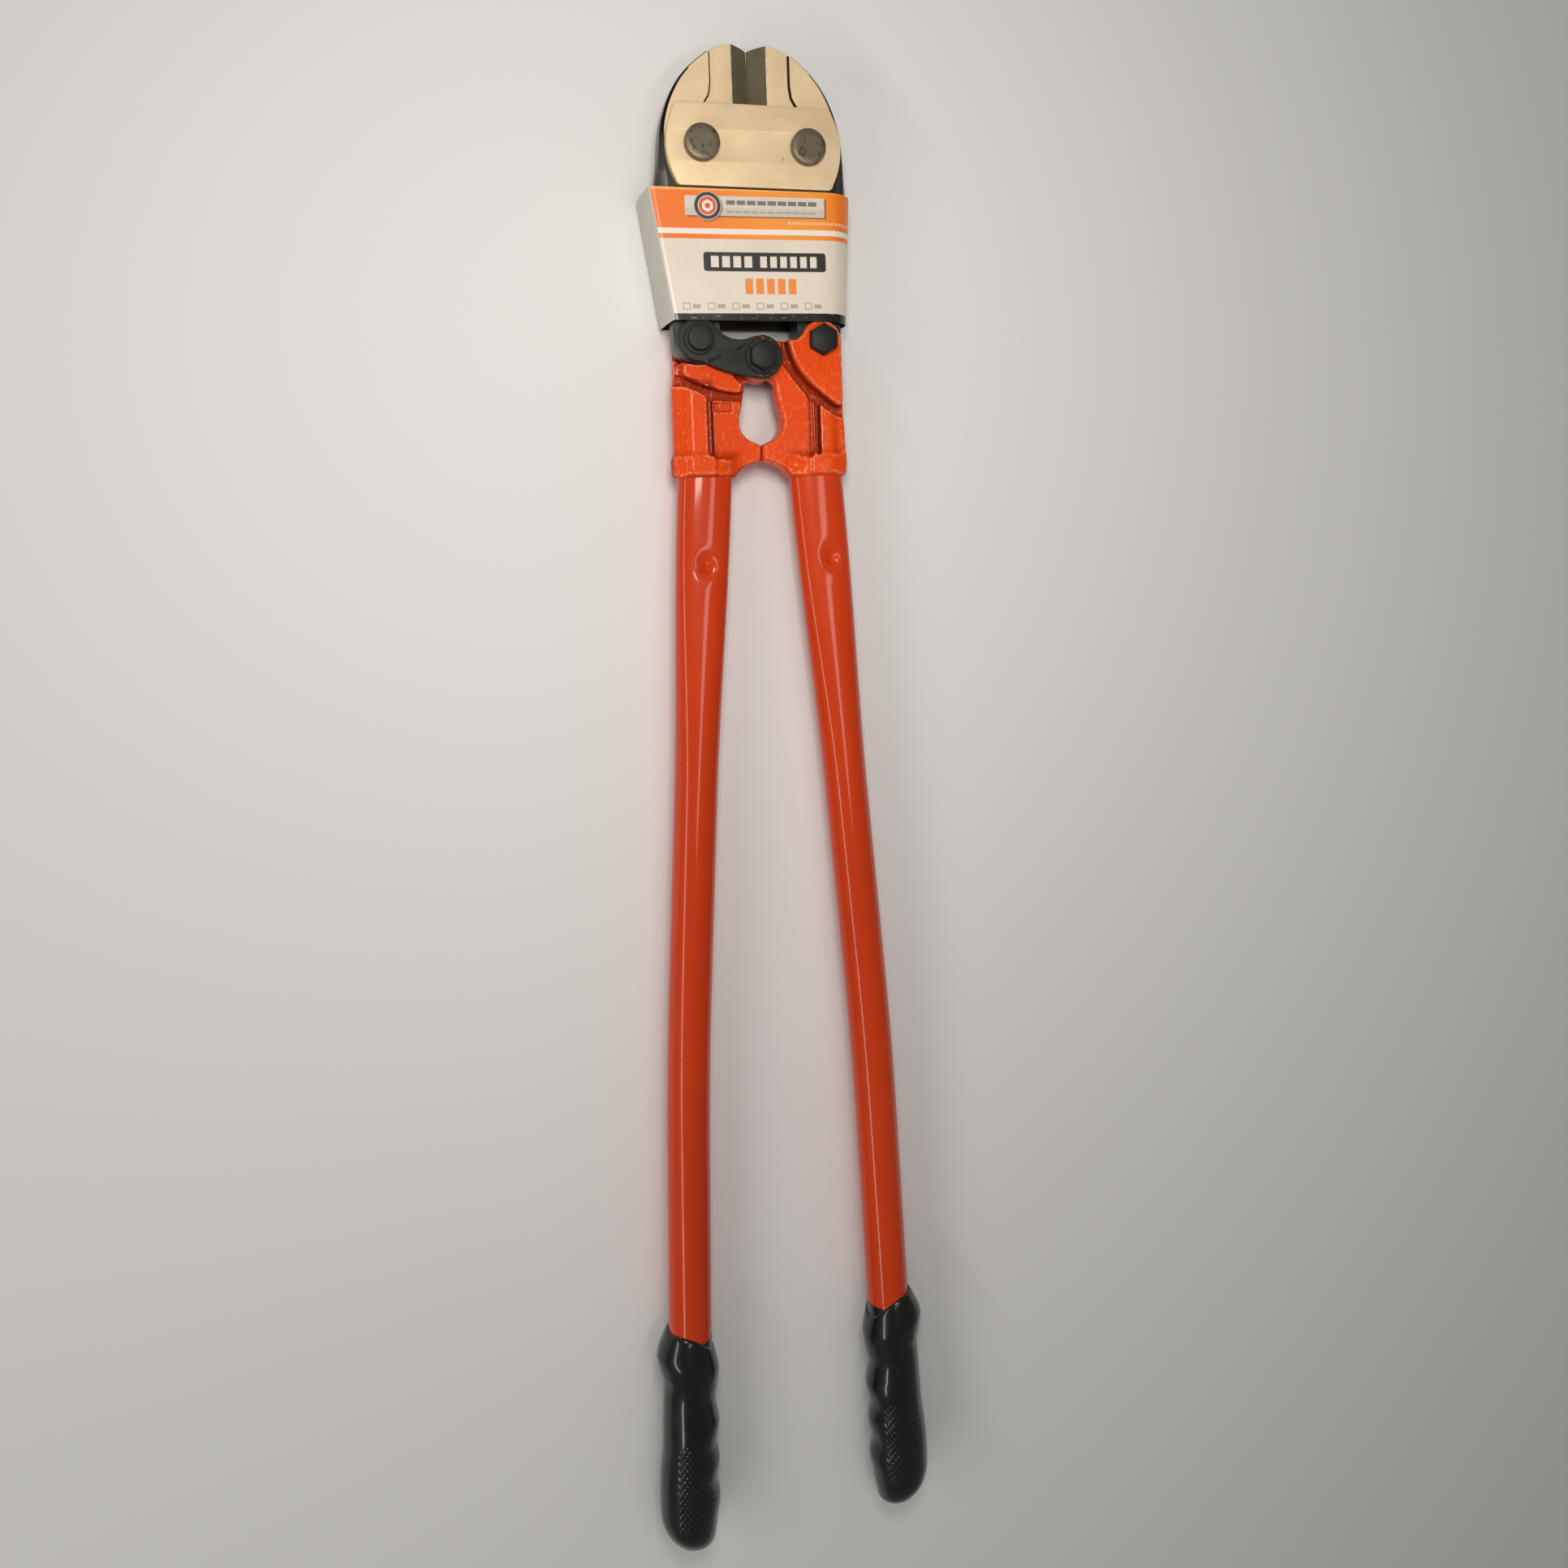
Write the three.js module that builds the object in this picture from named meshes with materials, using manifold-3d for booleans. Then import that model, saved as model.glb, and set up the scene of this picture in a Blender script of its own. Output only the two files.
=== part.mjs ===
// Heavy-duty bolt cutters with two long tubular handles.
// Millimetres. +Z up, +Y from the grips towards the jaws, +X to the right.
// The tool lies on its back: Z is its thickness.
//
// The design frame has its origin on the axis of the centre bolt, half-way through the
// thickness. The outer group moves the tool so that the model's origin is the middle of
// its underside. Left-hand pieces are the right-hand pieces turned half a turn about Y.
import * as THREE from 'three';
import { mergeVertices } from 'three/addons/utils/BufferGeometryUtils.js';
import Module from 'manifold-3d';

const wasm = await Module();
wasm.setup();

// Linkage, measured from the centre bolt
const TIP_Y = 179.5;
const GRIP_END_Y = -735.5;
const CENTRE = { x: 0, y: 0 };
const JAW_PIVOT = { x: 31.4, y: 119.7 };
const OUTER_BOLT = { x: 37, y: 9.7 };
const OPENING_PER_HANDLE = THREE.MathUtils.degToRad(50);

// Levels through the thickness, measured from the middle plane
const GAP = 0.3;
const JAW_HALF = 9;
const JAW_NOSE_HALF = 7.2;
const CLAMP_IN = JAW_HALF + GAP;
const CLAMP_OUT = 15.3;
const EYE_OUT = 9.3;
const LINK_IN = 9.8;
const LINK_OUT = 14.8;
const EAR_IN = 9.5;
const EAR_OUT = 15;
const UNDERSIDE = 21.6;

// Jaws
const EDGE_HALF = 0.25;
const BEVEL_WIDTH = 10.3;
const NOTCH_Y = 178.2;
const NOSE_STEP_X = 23;
const NOSE_STEP_END_Y = 138;
const FLARE_HALF = 4.5;
const TAIL_RADIUS = 13.5;

// Clamp plates
const CLAMP_HALF_WIDTH = 51.8;
const CLAMP_HALF_HEIGHT = 23.4;
const CLAMP_CORNER_X = 47;
const CLAMP_CORNER = 3.6;

// Bolts and nuts
const JAW_BOLT_R = 7.9;
const JAW_HEAD_R = 10.2;
const JAW_HEAD_H = 5;
const JAW_NUT_FLATS = 19;
const OUTER_BOLT_R = 6;
const OUTER_HEAD_FLATS = 16;
const OUTER_COLLAR_R = 9;
const OUTER_NUT_R = 7;
const CENTRE_BOLT_R = 5.8;
const CENTRE_HEAD_FLATS = 15.4;
const CENTRE_WASHER_R = 10;
const CENTRE_REAR_WASHER_R = 11.5;
const HOLE_CLEARANCE = 0.3;
const OUTER_HEAD_TOP = 21;
const OUTER_SHANK_END = -20.9;
const WASHER = 1.5;
const CENTRE_HEAD_SEAT = LINK_OUT + 2 * GAP + WASHER;
const CENTRE_HEAD_TOP = 21.4;

// Link plates: the radii of their two ends
const LINK_EYE_R = 12.6;
const LINK_BOLT_END_R = 12.3;

// The loop of the linkage is open at the centre bolt: the right-hand pieces have an
// elongated hole there, from the bolt's rest place to this second centre.
const SLOT_END = { x: 4.2, y: -1.85, r: 7.35 };

// Handle heads
const EYE_R = 13.3;
const WEB_FRONT = 8.6;
const WEB_REAR = -6;
const BAND_REAR = -9.5;
const VALLEY_Z = 6.4;
const REAR_GROOVE_Z = -4.6;
const GROOVE_WIDTH = 2.2;
const GROOVE_BOTTOM_Y = -57;
const FRONT_GROOVE = { x: 31, top: -22 };
const REAR_GROOVE = { x: 33.2, top: -17.5 };
const BAND_CLEARANCE = 3.6;
const SOCKET_Y = -69.2;
const SOCKET_TOP_Y = -58;
const BULGE = { x: 42, halfWidth: 10.4, halfThickness: 11, top: -10 };
const SOCKET = { x: 35, halfWidth: 17.5, halfThickness: 11.8 };
const TANG_END_Y = -135;

// Handle tubes
const TUBE_TOP_Y = SOCKET_Y - GAP;
const TUBE_END_Y = -714;
const TUBE_R = 13.25;
const TUBE_WALL = 2;
const TUBE_TOP_HALF_WIDTH = 16.3;
const TUBE_TOP_HALF_THICKNESS = 10.1;
const FLAT_END_Y = -90;
const ROUND_START_Y = -260;
const TUBE_TOP_X = 34.2;
const SLOPE_TOP = 0.0695;
const SLOPE_BOTTOM = 0.033;
const BEND_START_Y = -380;
const BEND_END_Y = -480;
const CRIMP = { x: 38.6, y: -121, radius: 8, depth: 3 };

// Printed card sleeve round the jaw tails
const CARD = 0.8;
const SLEEVE_TOP_Y = 97.2;
const SLEEVE_BOTTOM_Y = 20.2;
const SLEEVE_HALF = 16.9;
const SLEEVE_TOP = { left: -65.6, right: 60 };
const SLEEVE_BOTTOM = { left: -54.8, right: 55.6 };
const SLEEVE_CORNER = 3.2;

// Facets round a bolt or hole, and round a tube, grip or socket
const ROUND_SIDES = 24;
const OVAL_SIDES = 20;

// ---------------------------------------------------------------- solids and meshes

function solid(geometry) {
  const bare = geometry.clone();
  bare.deleteAttribute('normal');
  bare.deleteAttribute('uv');
  const merged = mergeVertices(bare, 1e-4);
  return new wasm.Manifold(new wasm.Mesh({
    numProp: 3,
    vertProperties: new Float32Array(merged.attributes.position.array),
    triVerts: new Uint32Array(merged.index.array),
  }));
}

function geometryOf(body) {
  const mesh = body.getMesh();
  const geometry = new THREE.BufferGeometry();
  geometry.setAttribute('position', new THREE.BufferAttribute(mesh.vertProperties, 3));
  geometry.setIndex(new THREE.BufferAttribute(mesh.triVerts, 1));
  geometry.computeVertexNormals();
  return geometry;
}

function union(...bodies) {
  return bodies.reduce((total, body) => total.add(body));
}

function cut(body, ...tools) {
  return tools.reduce((rest, tool) => rest.subtract(tool), body);
}

// A flat outline, raised from z0 to z1.
function slab(shape, z0, z1, curveSegments = 12) {
  const geometry = new THREE.ExtrudeGeometry(shape, {
    depth: z1 - z0,
    bevelEnabled: false,
    curveSegments,
  });
  return solid(geometry.translate(0, 0, z0));
}

function disc(centre, radius, z0, z1, segments = ROUND_SIDES) {
  const geometry = new THREE.CylinderGeometry(radius, radius, z1 - z0, segments);
  geometry.rotateX(Math.PI / 2).translate(centre.x, centre.y, (z0 + z1) / 2);
  return solid(geometry);
}

function box(x0, x1, y0, y1, z0, z1) {
  const geometry = new THREE.BoxGeometry(x1 - x0, y1 - y0, z1 - z0);
  return solid(geometry.translate((x0 + x1) / 2, (y0 + y1) / 2, (z0 + z1) / 2));
}

// A turned piece about the Z axis through centre; profile is [radius, z] from low to high.
function turned(centre, profile, segments = ROUND_SIDES) {
  const points = profile.map(([r, z]) => new THREE.Vector2(r, z));
  const geometry = new THREE.LatheGeometry(points, segments);
  geometry.rotateX(Math.PI / 2).translate(centre.x, centre.y, 0);
  return solid(geometry);
}

// A hexagon with its crown chamfered at the end named by crown (+1 upper, -1 lower).
function hexagon(centre, acrossFlats, z0, z1, crown) {
  const corner = acrossFlats / Math.sqrt(3);
  const prism = new THREE.CylinderGeometry(corner, corner, z1 - z0, 6);
  prism.rotateX(Math.PI / 2).translate(centre.x, centre.y, (z0 + z1) / 2);
  const rim = acrossFlats / 2;
  const drop = (corner - rim) * 0.6;
  const profile = crown > 0
    ? [[0, z0 - 1], [corner + 1, z0 - 1], [corner + 1, z1 - drop - 0.6], [rim, z1], [0, z1]]
    : [[0, z0], [rim, z0], [corner + 1, z0 + drop + 0.6], [corner + 1, z1 + 1], [0, z1 + 1]];
  return solid(prism).intersect(turned(centre, profile));
}

// A closed skin through a list of rings with equal point counts, capped at both ends.
function loft(rings) {
  const count = rings[0].length;
  const positions = [];
  const index = [];
  for (const ring of rings) {
    for (const point of ring) {
      positions.push(point.x, point.y, point.z);
    }
  }
  for (let k = 0; k + 1 < rings.length; k += 1) {
    for (let i = 0; i < count; i += 1) {
      const a = k * count + i;
      const b = k * count + ((i + 1) % count);
      index.push(a, b, b + count, a, b + count, a + count);
    }
  }
  for (const [k, turn] of [[0, 1], [rings.length - 1, -1]]) {
    const centre = rings[k].reduce((sum, p) => sum.add(p), new THREE.Vector3());
    centre.divideScalar(count);
    const middle = positions.length / 3;
    positions.push(centre.x, centre.y, centre.z);
    for (let i = 0; i < count; i += 1) {
      const a = k * count + i;
      const b = k * count + ((i + 1) % count);
      index.push(...(turn > 0 ? [middle, b, a] : [middle, a, b]));
    }
  }
  const geometry = new THREE.BufferGeometry();
  geometry.setAttribute('position', new THREE.Float32BufferAttribute(positions, 3));
  geometry.setIndex(index);
  return solid(geometry);
}

// An ellipse ring from an inner to an outer point of the XY plane.
function ring(inner, outer, halfThickness, count = OVAL_SIDES) {
  const points = [];
  for (let i = 0; i < count; i += 1) {
    const angle = (2 * Math.PI * i) / count;
    const across = (1 - Math.cos(angle)) / 2;
    points.push(new THREE.Vector3(
      THREE.MathUtils.lerp(outer.x, inner.x, across),
      THREE.MathUtils.lerp(outer.y, inner.y, across),
      halfThickness * Math.sin(angle),
    ));
  }
  return points;
}

// The outline round two circles and the two lines that touch both.
function twoCircles(first, second) {
  const dx = second.x - first.x;
  const dy = second.y - first.y;
  const heading = Math.atan2(dy, dx);
  const lean = Math.acos((first.r - second.r) / Math.hypot(dx, dy));
  const shape = new THREE.Shape();
  shape.absarc(second.x, second.y, second.r, heading - lean, heading + lean, false);
  shape.absarc(first.x, first.y, first.r, heading + lean, heading - lean + 2 * Math.PI, false);
  return shape;
}

function points(...pairs) {
  return pairs.map(([x, y]) => new THREE.Vector2(x, y));
}

const finishes = {
  groundSteel: { color: 0xd9c09a, roughness: 0.5, metalness: 0.6 },
  jawSteel: { color: 0xcdb592, roughness: 0.5, metalness: 0.6 },
  boltSteel: { color: 0x5a5246, roughness: 0.5, metalness: 0.7 },
  blackSteel: { color: 0x2d2e2c, roughness: 0.55, metalness: 0.4 },
  orangePaint: { color: 0xec5021, roughness: 0.38, metalness: 0.0 },
  tubePaint: { color: 0xd7411a, roughness: 0.3, metalness: 0.0 },
  blackGrip: { color: 0x121412, roughness: 0.25, metalness: 0.0 },
  card: { color: 0xe8dac8, roughness: 0.45, metalness: 0.0 },
};

function piece(name, body, finish) {
  const mesh = new THREE.Mesh(geometryOf(body), new THREE.MeshStandardMaterial(finish));
  mesh.name = name;
  return mesh;
}

// ---------------------------------------------------------------- jaws

function jawOutline() {
  const shape = new THREE.Shape();
  const edge = GAP / 2;
  shape.moveTo(edge, NOTCH_Y);
  shape.quadraticCurveTo(4.5, 179.5, BEVEL_WIDTH, TIP_Y);
  shape.splineThru(points([16, 179], [22.5, 176], [30, 170.3], [37.5, 163.8], [44, 155.6],
    [49.5, 144.5], [53.2, 132], [54.8, 119], [55.3, 108], [55, 97]));
  shape.lineTo(OUTER_BOLT.x + TAIL_RADIUS, OUTER_BOLT.y);
  shape.absarc(OUTER_BOLT.x, OUTER_BOLT.y, TAIL_RADIUS, 0, -Math.PI, true);
  shape.splineThru(points([22.8, 35], [17, 70], [8, 100], [2.4, 114]));
  shape.lineTo(edge, JAW_PIVOT.y);
  return shape;
}

// The forging is widest at its middle plane, below the clamp plates.
function jawFlareOutline() {
  const shape = new THREE.Shape();
  shape.moveTo(54.2, 124);
  shape.splineThru(points([56.4, 109], [58.3, 96], [57.6, 84], [55, 62], [52.4, 38]));
  shape.lineTo(44, 50);
  shape.lineTo(44, 115);
  return shape;
}

// The recess of the nose beside the cutting edge, on the face named by side (+1 or -1).
function noseRecess(side) {
  const shape = new THREE.Shape();
  shape.moveTo(-1, TIP_Y + 1);
  shape.lineTo(NOSE_STEP_X, TIP_Y + 1);
  shape.lineTo(NOSE_STEP_X, 157);
  shape.quadraticCurveTo(23.4, 150, 28.5, 143);
  shape.lineTo(28.5, NOSE_STEP_END_Y);
  shape.lineTo(-1, NOSE_STEP_END_Y);
  const levels = [side * JAW_NOSE_HALF, side * (JAW_HALF + 1)];
  return slab(shape, Math.min(...levels), Math.max(...levels), 6);
}

function cuttingBevel(side) {
  const edge = GAP / 2;
  const rise = (JAW_NOSE_HALF - EDGE_HALF) / (BEVEL_WIDTH - edge);
  const shape = new THREE.Shape();
  shape.moveTo(edge - 1, side * (EDGE_HALF - rise));
  shape.lineTo(BEVEL_WIDTH + 1, side * (JAW_NOSE_HALF + rise));
  shape.lineTo(edge - 1, side * (JAW_NOSE_HALF + rise));
  const length = TIP_Y + 1 - NOSE_STEP_END_Y;
  const geometry = new THREE.ExtrudeGeometry(shape, { depth: length, bevelEnabled: false });
  return solid(geometry.rotateX(Math.PI / 2).translate(0, TIP_Y + 1, 0));
}

function jaw() {
  return cut(
    union(
      slab(jawOutline(), -JAW_HALF, JAW_HALF, 4),
      slab(jawFlareOutline(), -FLARE_HALF, FLARE_HALF, 4),
    ),
    ...[1, -1].flatMap((side) => [noseRecess(side), cuttingBevel(side)]),
    disc(JAW_PIVOT, JAW_BOLT_R + HOLE_CLEARANCE, -JAW_HALF - 1, JAW_HALF + 1),
    disc(OUTER_BOLT, OUTER_BOLT_R + HOLE_CLEARANCE, -JAW_HALF - 1, JAW_HALF + 1),
  );
}

// ---------------------------------------------------------------- head frame

function clampPlate(z0, z1) {
  const cornerY = CLAMP_HALF_HEIGHT - CLAMP_CORNER;
  const rise = CLAMP_HALF_WIDTH - CLAMP_CORNER_X;
  const sideRadius = (cornerY ** 2 + rise ** 2) / (2 * rise);
  const sideCentre = CLAMP_HALF_WIDTH - sideRadius;
  const spread = Math.asin(cornerY / sideRadius);
  const flatX = CLAMP_CORNER_X - CLAMP_CORNER;
  const cornerX = CLAMP_CORNER_X - 0.8;
  const shape = new THREE.Shape();
  shape.moveTo(-flatX, -CLAMP_HALF_HEIGHT);
  shape.lineTo(flatX, -CLAMP_HALF_HEIGHT);
  shape.quadraticCurveTo(cornerX, -CLAMP_HALF_HEIGHT, CLAMP_CORNER_X, -cornerY);
  shape.absarc(sideCentre, 0, sideRadius, -spread, spread, false);
  shape.quadraticCurveTo(cornerX, CLAMP_HALF_HEIGHT, flatX, CLAMP_HALF_HEIGHT);
  shape.lineTo(-flatX, CLAMP_HALF_HEIGHT);
  shape.quadraticCurveTo(-cornerX, CLAMP_HALF_HEIGHT, -CLAMP_CORNER_X, cornerY);
  shape.absarc(-sideCentre, 0, sideRadius, Math.PI - spread, Math.PI + spread, false);
  shape.quadraticCurveTo(-cornerX, -CLAMP_HALF_HEIGHT, -flatX, -CLAMP_HALF_HEIGHT);
  for (const side of [1, -1]) {
    const hole = new THREE.Path();
    hole.absarc(side * JAW_PIVOT.x, 0, JAW_BOLT_R + HOLE_CLEARANCE, 0, 2 * Math.PI, true);
    shape.holes.push(hole);
  }
  const geometry = new THREE.ExtrudeGeometry(shape, {
    depth: z1 - z0,
    bevelEnabled: false,
    curveSegments: 8,
  });
  return solid(geometry.translate(0, JAW_PIVOT.y, z0));
}

function jawPivotBolt(centre) {
  const seat = CLAMP_OUT + GAP;
  const crown = seat + JAW_HEAD_H;
  return turned(centre, [[0, -UNDERSIDE], [JAW_BOLT_R, -UNDERSIDE], [JAW_BOLT_R, seat],
    [JAW_HEAD_R, seat], [JAW_HEAD_R, crown - 0.5], [JAW_HEAD_R - 0.5, crown], [0, crown]]);
}

function jawPivotNut(centre) {
  const seat = -CLAMP_OUT - GAP;
  return cut(
    hexagon(centre, JAW_NUT_FLATS, -UNDERSIDE, seat, -1),
    disc(centre, JAW_BOLT_R + HOLE_CLEARANCE, -UNDERSIDE - 1, seat + 1),
  );
}

// The section of the folded card at one height: a rectangle with rounded edges.
function cardRing(y, left, right, half, corner) {
  const ringPoints = [];
  const steps = 4;
  const corners = [[right - corner, half - corner, 0], [left + corner, half - corner, 1],
    [left + corner, corner - half, 2], [right - corner, corner - half, 3]];
  for (const [x, z, quarter] of corners) {
    for (let i = 0; i <= steps; i += 1) {
      const angle = (quarter + i / steps) * (Math.PI / 2);
      ringPoints.push(new THREE.Vector3(
        x + corner * Math.cos(angle), y, z + corner * Math.sin(angle),
      ));
    }
  }
  return ringPoints;
}

function cardSleeve() {
  const skin = (inset, over) => {
    const taper = (side) => (SLEEVE_TOP[side] - SLEEVE_BOTTOM[side])
      / (SLEEVE_TOP_Y - SLEEVE_BOTTOM_Y);
    const at = (y) => cardRing(
      y,
      SLEEVE_BOTTOM.left + taper('left') * (y - SLEEVE_BOTTOM_Y) + inset,
      SLEEVE_BOTTOM.right + taper('right') * (y - SLEEVE_BOTTOM_Y) - inset,
      SLEEVE_HALF - inset,
      SLEEVE_CORNER - inset,
    );
    return loft([at(SLEEVE_TOP_Y + over), at(SLEEVE_BOTTOM_Y - over)]);
  };
  return cut(skin(0, 0), skin(CARD, 1));
}

// ---------------------------------------------------------------- handle heads

// The forged web, seen from the front, from the centre eye to the socket and stop lug.
function webOutline() {
  const shape = new THREE.Shape();
  const edge = GAP / 2;
  shape.moveTo(8.6, -14.5);
  shape.lineTo(9.6, -22);
  shape.bezierCurveTo(11.2, -30, 13.6, -34, 12.4, -40);
  shape.quadraticCurveTo(11.2, -44.8, 6.9, -47.6);
  shape.lineTo(2, -49.6);
  shape.quadraticCurveTo(edge, -50.2, edge, -51.5);
  shape.lineTo(edge, -58.4);
  shape.quadraticCurveTo(edge, -60, 2.5, -60.7);
  shape.quadraticCurveTo(11, -62.6, 17.5, -68.8);
  shape.lineTo(50, -68.6);
  shape.lineTo(52.3, -62);
  shape.lineTo(51.2, -20);
  shape.lineTo(51, -5.5);
  shape.lineTo(37, 4);
  shape.lineTo(30, 10.8);
  shape.lineTo(3, 10.8);
  shape.lineTo(3, -10);
  return shape;
}

// The raised ear over the jaw tail.
function earOutline() {
  const shape = new THREE.Shape();
  shape.moveTo(15.9, 10.6);
  shape.quadraticCurveTo(16.6, 2.5, 21, -5);
  shape.quadraticCurveTo(28, -16.5, 44.5, -28);
  shape.quadraticCurveTo(49.5, -30.5, 49.7, -25);
  shape.lineTo(49.7, OUTER_BOLT.y);
  shape.absarc(OUTER_BOLT.x, OUTER_BOLT.y, 12.7, 0, 0.78 * Math.PI, false);
  shape.quadraticCurveTo(24.5, 11.6, 20, 10.7);
  return shape;
}

// The boss on the other face that carries the link plate.
function bandOutline() {
  const shape = new THREE.Shape();
  shape.moveTo(46.5, -3);
  shape.lineTo(46.8, -8.5);
  shape.quadraticCurveTo(46.5, -11, 43, -12.6);
  shape.quadraticCurveTo(30, -18.8, 15, -20.6);
  shape.quadraticCurveTo(11.5, -20.6, 11, -17);
  shape.lineTo(9.2, -12);
  shape.lineTo(14, -2);
  shape.lineTo(36, -2);
  return shape;
}

// The shallow channel between the web's ridge and the ear.
function valleyOutline() {
  const shape = new THREE.Shape();
  shape.moveTo(13.8, 12);
  shape.lineTo(13.8, -3.2);
  shape.lineTo(19.6, -11.5);
  shape.lineTo(30.2, -24.4);
  shape.lineTo(40, -26);
  shape.lineTo(40, 12);
  return shape;
}

// Everything the jaw tail sweeps in the handle head's frame, from shut to fully open.
function tailSweep(openingOfJaw) {
  const radius = TAIL_RADIUS + 0.4;
  const swing = -OPENING_PER_HANDLE - openingOfJaw;
  const far = 60;
  const from = OUTER_BOLT;
  const shape = new THREE.Shape();
  shape.moveTo(from.x - radius, from.y);
  shape.lineTo(from.x - radius, from.y + far);
  shape.lineTo(
    from.x + radius * Math.cos(swing) + far * Math.cos(swing + Math.PI / 2),
    from.y + radius * Math.sin(swing) + far * Math.sin(swing + Math.PI / 2),
  );
  shape.absarc(from.x, from.y, radius, swing, -Math.PI, true);
  return slab(shape, -12, EAR_IN, 20);
}

// A straight run of oval section along Y.
function ovalRun(x, halfWidth, halfThickness, y0, y1) {
  const at = (y) => ring({ x: x - halfWidth, y }, { x: x + halfWidth, y }, halfThickness);
  return loft([at(Math.max(y0, y1)), at(Math.min(y0, y1))]);
}

function handleHead(slotted, jawOpening) {
  const forged = union(
    slab(webOutline(), WEB_REAR, WEB_FRONT, 5),
    slab(earOutline(), VALLEY_Z - 1, EAR_OUT, 8),
    slab(bandOutline(), BAND_REAR, WEB_REAR + 1, 5),
    ovalRun(BULGE.x, BULGE.halfWidth, BULGE.halfThickness, BULGE.top, SOCKET_TOP_Y - 4),
    ovalRun(SOCKET.x, SOCKET.halfWidth, SOCKET.halfThickness, SOCKET_TOP_Y, SOCKET_Y),
  );
  const ear = slab(earOutline(), 0, EAR_OUT + 5, 8);
  const band = slab(bandOutline(), BAND_REAR - 5, 0, 5);
  // Half-way through the opening, the other handle's band passes this far off the axis.
  const otherEye = { x: SLOT_END.x * 0.6, y: SLOT_END.y * 0.6 };
  const groove = (place, z0, z1) => box(
    place.x,
    place.x + GROOVE_WIDTH,
    GROOVE_BOTTOM_Y,
    place.top,
    z0,
    z1,
  );
  const shaped = cut(
    forged,
    cut(slab(valleyOutline(), VALLEY_Z, WEB_FRONT + 1), ear),
    cut(groove(FRONT_GROOVE, VALLEY_Z, EAR_OUT), ear),
    cut(groove(REAR_GROOVE, -SOCKET.halfThickness, REAR_GROOVE_Z), band),
    tailSweep(jawOpening),
    disc(otherEye, EYE_R + BAND_CLEARANCE, BAND_REAR - 1, 0),
  );
  const hole = CENTRE_BOLT_R + HOLE_CLEARANCE;
  const eyeHole = slotted
    ? slab(twoCircles({ x: 0, y: 0, r: hole }, SLOT_END), -1, EYE_OUT + 1)
    : disc(CENTRE, hole, -1, EYE_OUT + 1);
  return cut(
    union(shaped, disc(CENTRE, EYE_R, GAP, EYE_OUT, 32), tang()),
    eyeHole,
    disc(OUTER_BOLT, OUTER_BOLT_R + HOLE_CLEARANCE, EAR_IN - 1, EAR_OUT + 1),
  );
}

// ---------------------------------------------------------------- tubes and grips

function tubeAxisX(y) {
  const bend = THREE.MathUtils.clamp(BEND_START_Y - y, 0, BEND_START_Y - BEND_END_Y);
  const past = Math.max(BEND_END_Y - y, 0);
  const loss = (SLOPE_TOP - SLOPE_BOTTOM) * (bend ** 2 / (2 * (BEND_START_Y - BEND_END_Y)) + past);
  return TUBE_TOP_X + SLOPE_TOP * (TUBE_TOP_Y - y) - loss;
}

// How deep the crimp has pushed the front and rear walls in at a point.
function crimpDepth(point) {
  const away = Math.hypot(point.x - CRIMP.x, point.y - CRIMP.y) / CRIMP.radius;
  return away < 1 ? CRIMP.depth * (1 - away ** 2) ** 2 : 0;
}

function tubeRing(y, inset) {
  const round = THREE.MathUtils.smoothstep(-y, -FLAT_END_Y, -ROUND_START_Y);
  const halfWidth = THREE.MathUtils.lerp(TUBE_TOP_HALF_WIDTH, TUBE_R, round) - inset;
  const halfThickness = THREE.MathUtils.lerp(TUBE_TOP_HALF_THICKNESS, TUBE_R, round) - inset;
  const x = tubeAxisX(y);
  const section = ring({ x: x - halfWidth, y }, { x: x + halfWidth, y }, halfThickness);
  for (const point of section) {
    point.z -= Math.sign(point.z) * Math.min(crimpDepth(point), Math.abs(point.z));
  }
  return section;
}

const CRIMP_STATIONS = [-112, -116, -121, -126, -130];
const TUBE_STATIONS = [FLAT_END_Y, ...CRIMP_STATIONS, -165, -210, ROUND_START_Y, BEND_START_Y,
  (BEND_START_Y + BEND_END_Y) / 2, BEND_END_Y];

function handleTube() {
  const skin = (inset, over) => loft(
    [TUBE_TOP_Y + over, ...TUBE_STATIONS, TUBE_END_Y - over].map((y) => tubeRing(y, inset)),
  );
  return cut(skin(0, 0), skin(TUBE_WALL, 1));
}

// The solid bar of the handle head inside the top of the tube.
function tang() {
  const stations = [SOCKET_Y + 1, FLAT_END_Y, ...CRIMP_STATIONS, TANG_END_Y];
  return loft(stations.map((y) => tubeRing(y, TUBE_WALL + GAP)));
}

// Rings of the grip: the outer and inner side, as distances from the tube's axis and Y,
// and the half-thickness. The collar's rim slants and the inner side has finger waves.
const GRIP_RINGS = [
  [14.2, -592.5, -14.2, -607, 14.2],
  [17.4, -598, -15.8, -611.5, 16.2],
  [20.6, -607, -17.6, -620, 18.2],
  [19.2, -616, -16.8, -629, 17.4],
  [17.1, -625, -15.4, -639, 16.4],
  [17.4, -640, -16.5, -647, 16.6],
  [17.7, -654, -17.8, -655, 17],
  [17.9, -667, -16.3, -667, 17],
  [18.9, -678, -17.9, -679, 17.3],
  [19.7, -691, -16.6, -691, 17.4],
  [19.8, -703, -18.3, -703, 17.4],
  [19, -714, -16.9, -715, 17],
  [15.9, -723, -15.8, -724, 15.4],
  [9.8, -731, -14.2, -731.5, 11],
  [4, GRIP_END_Y, -9, GRIP_END_Y, 5],
];

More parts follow.
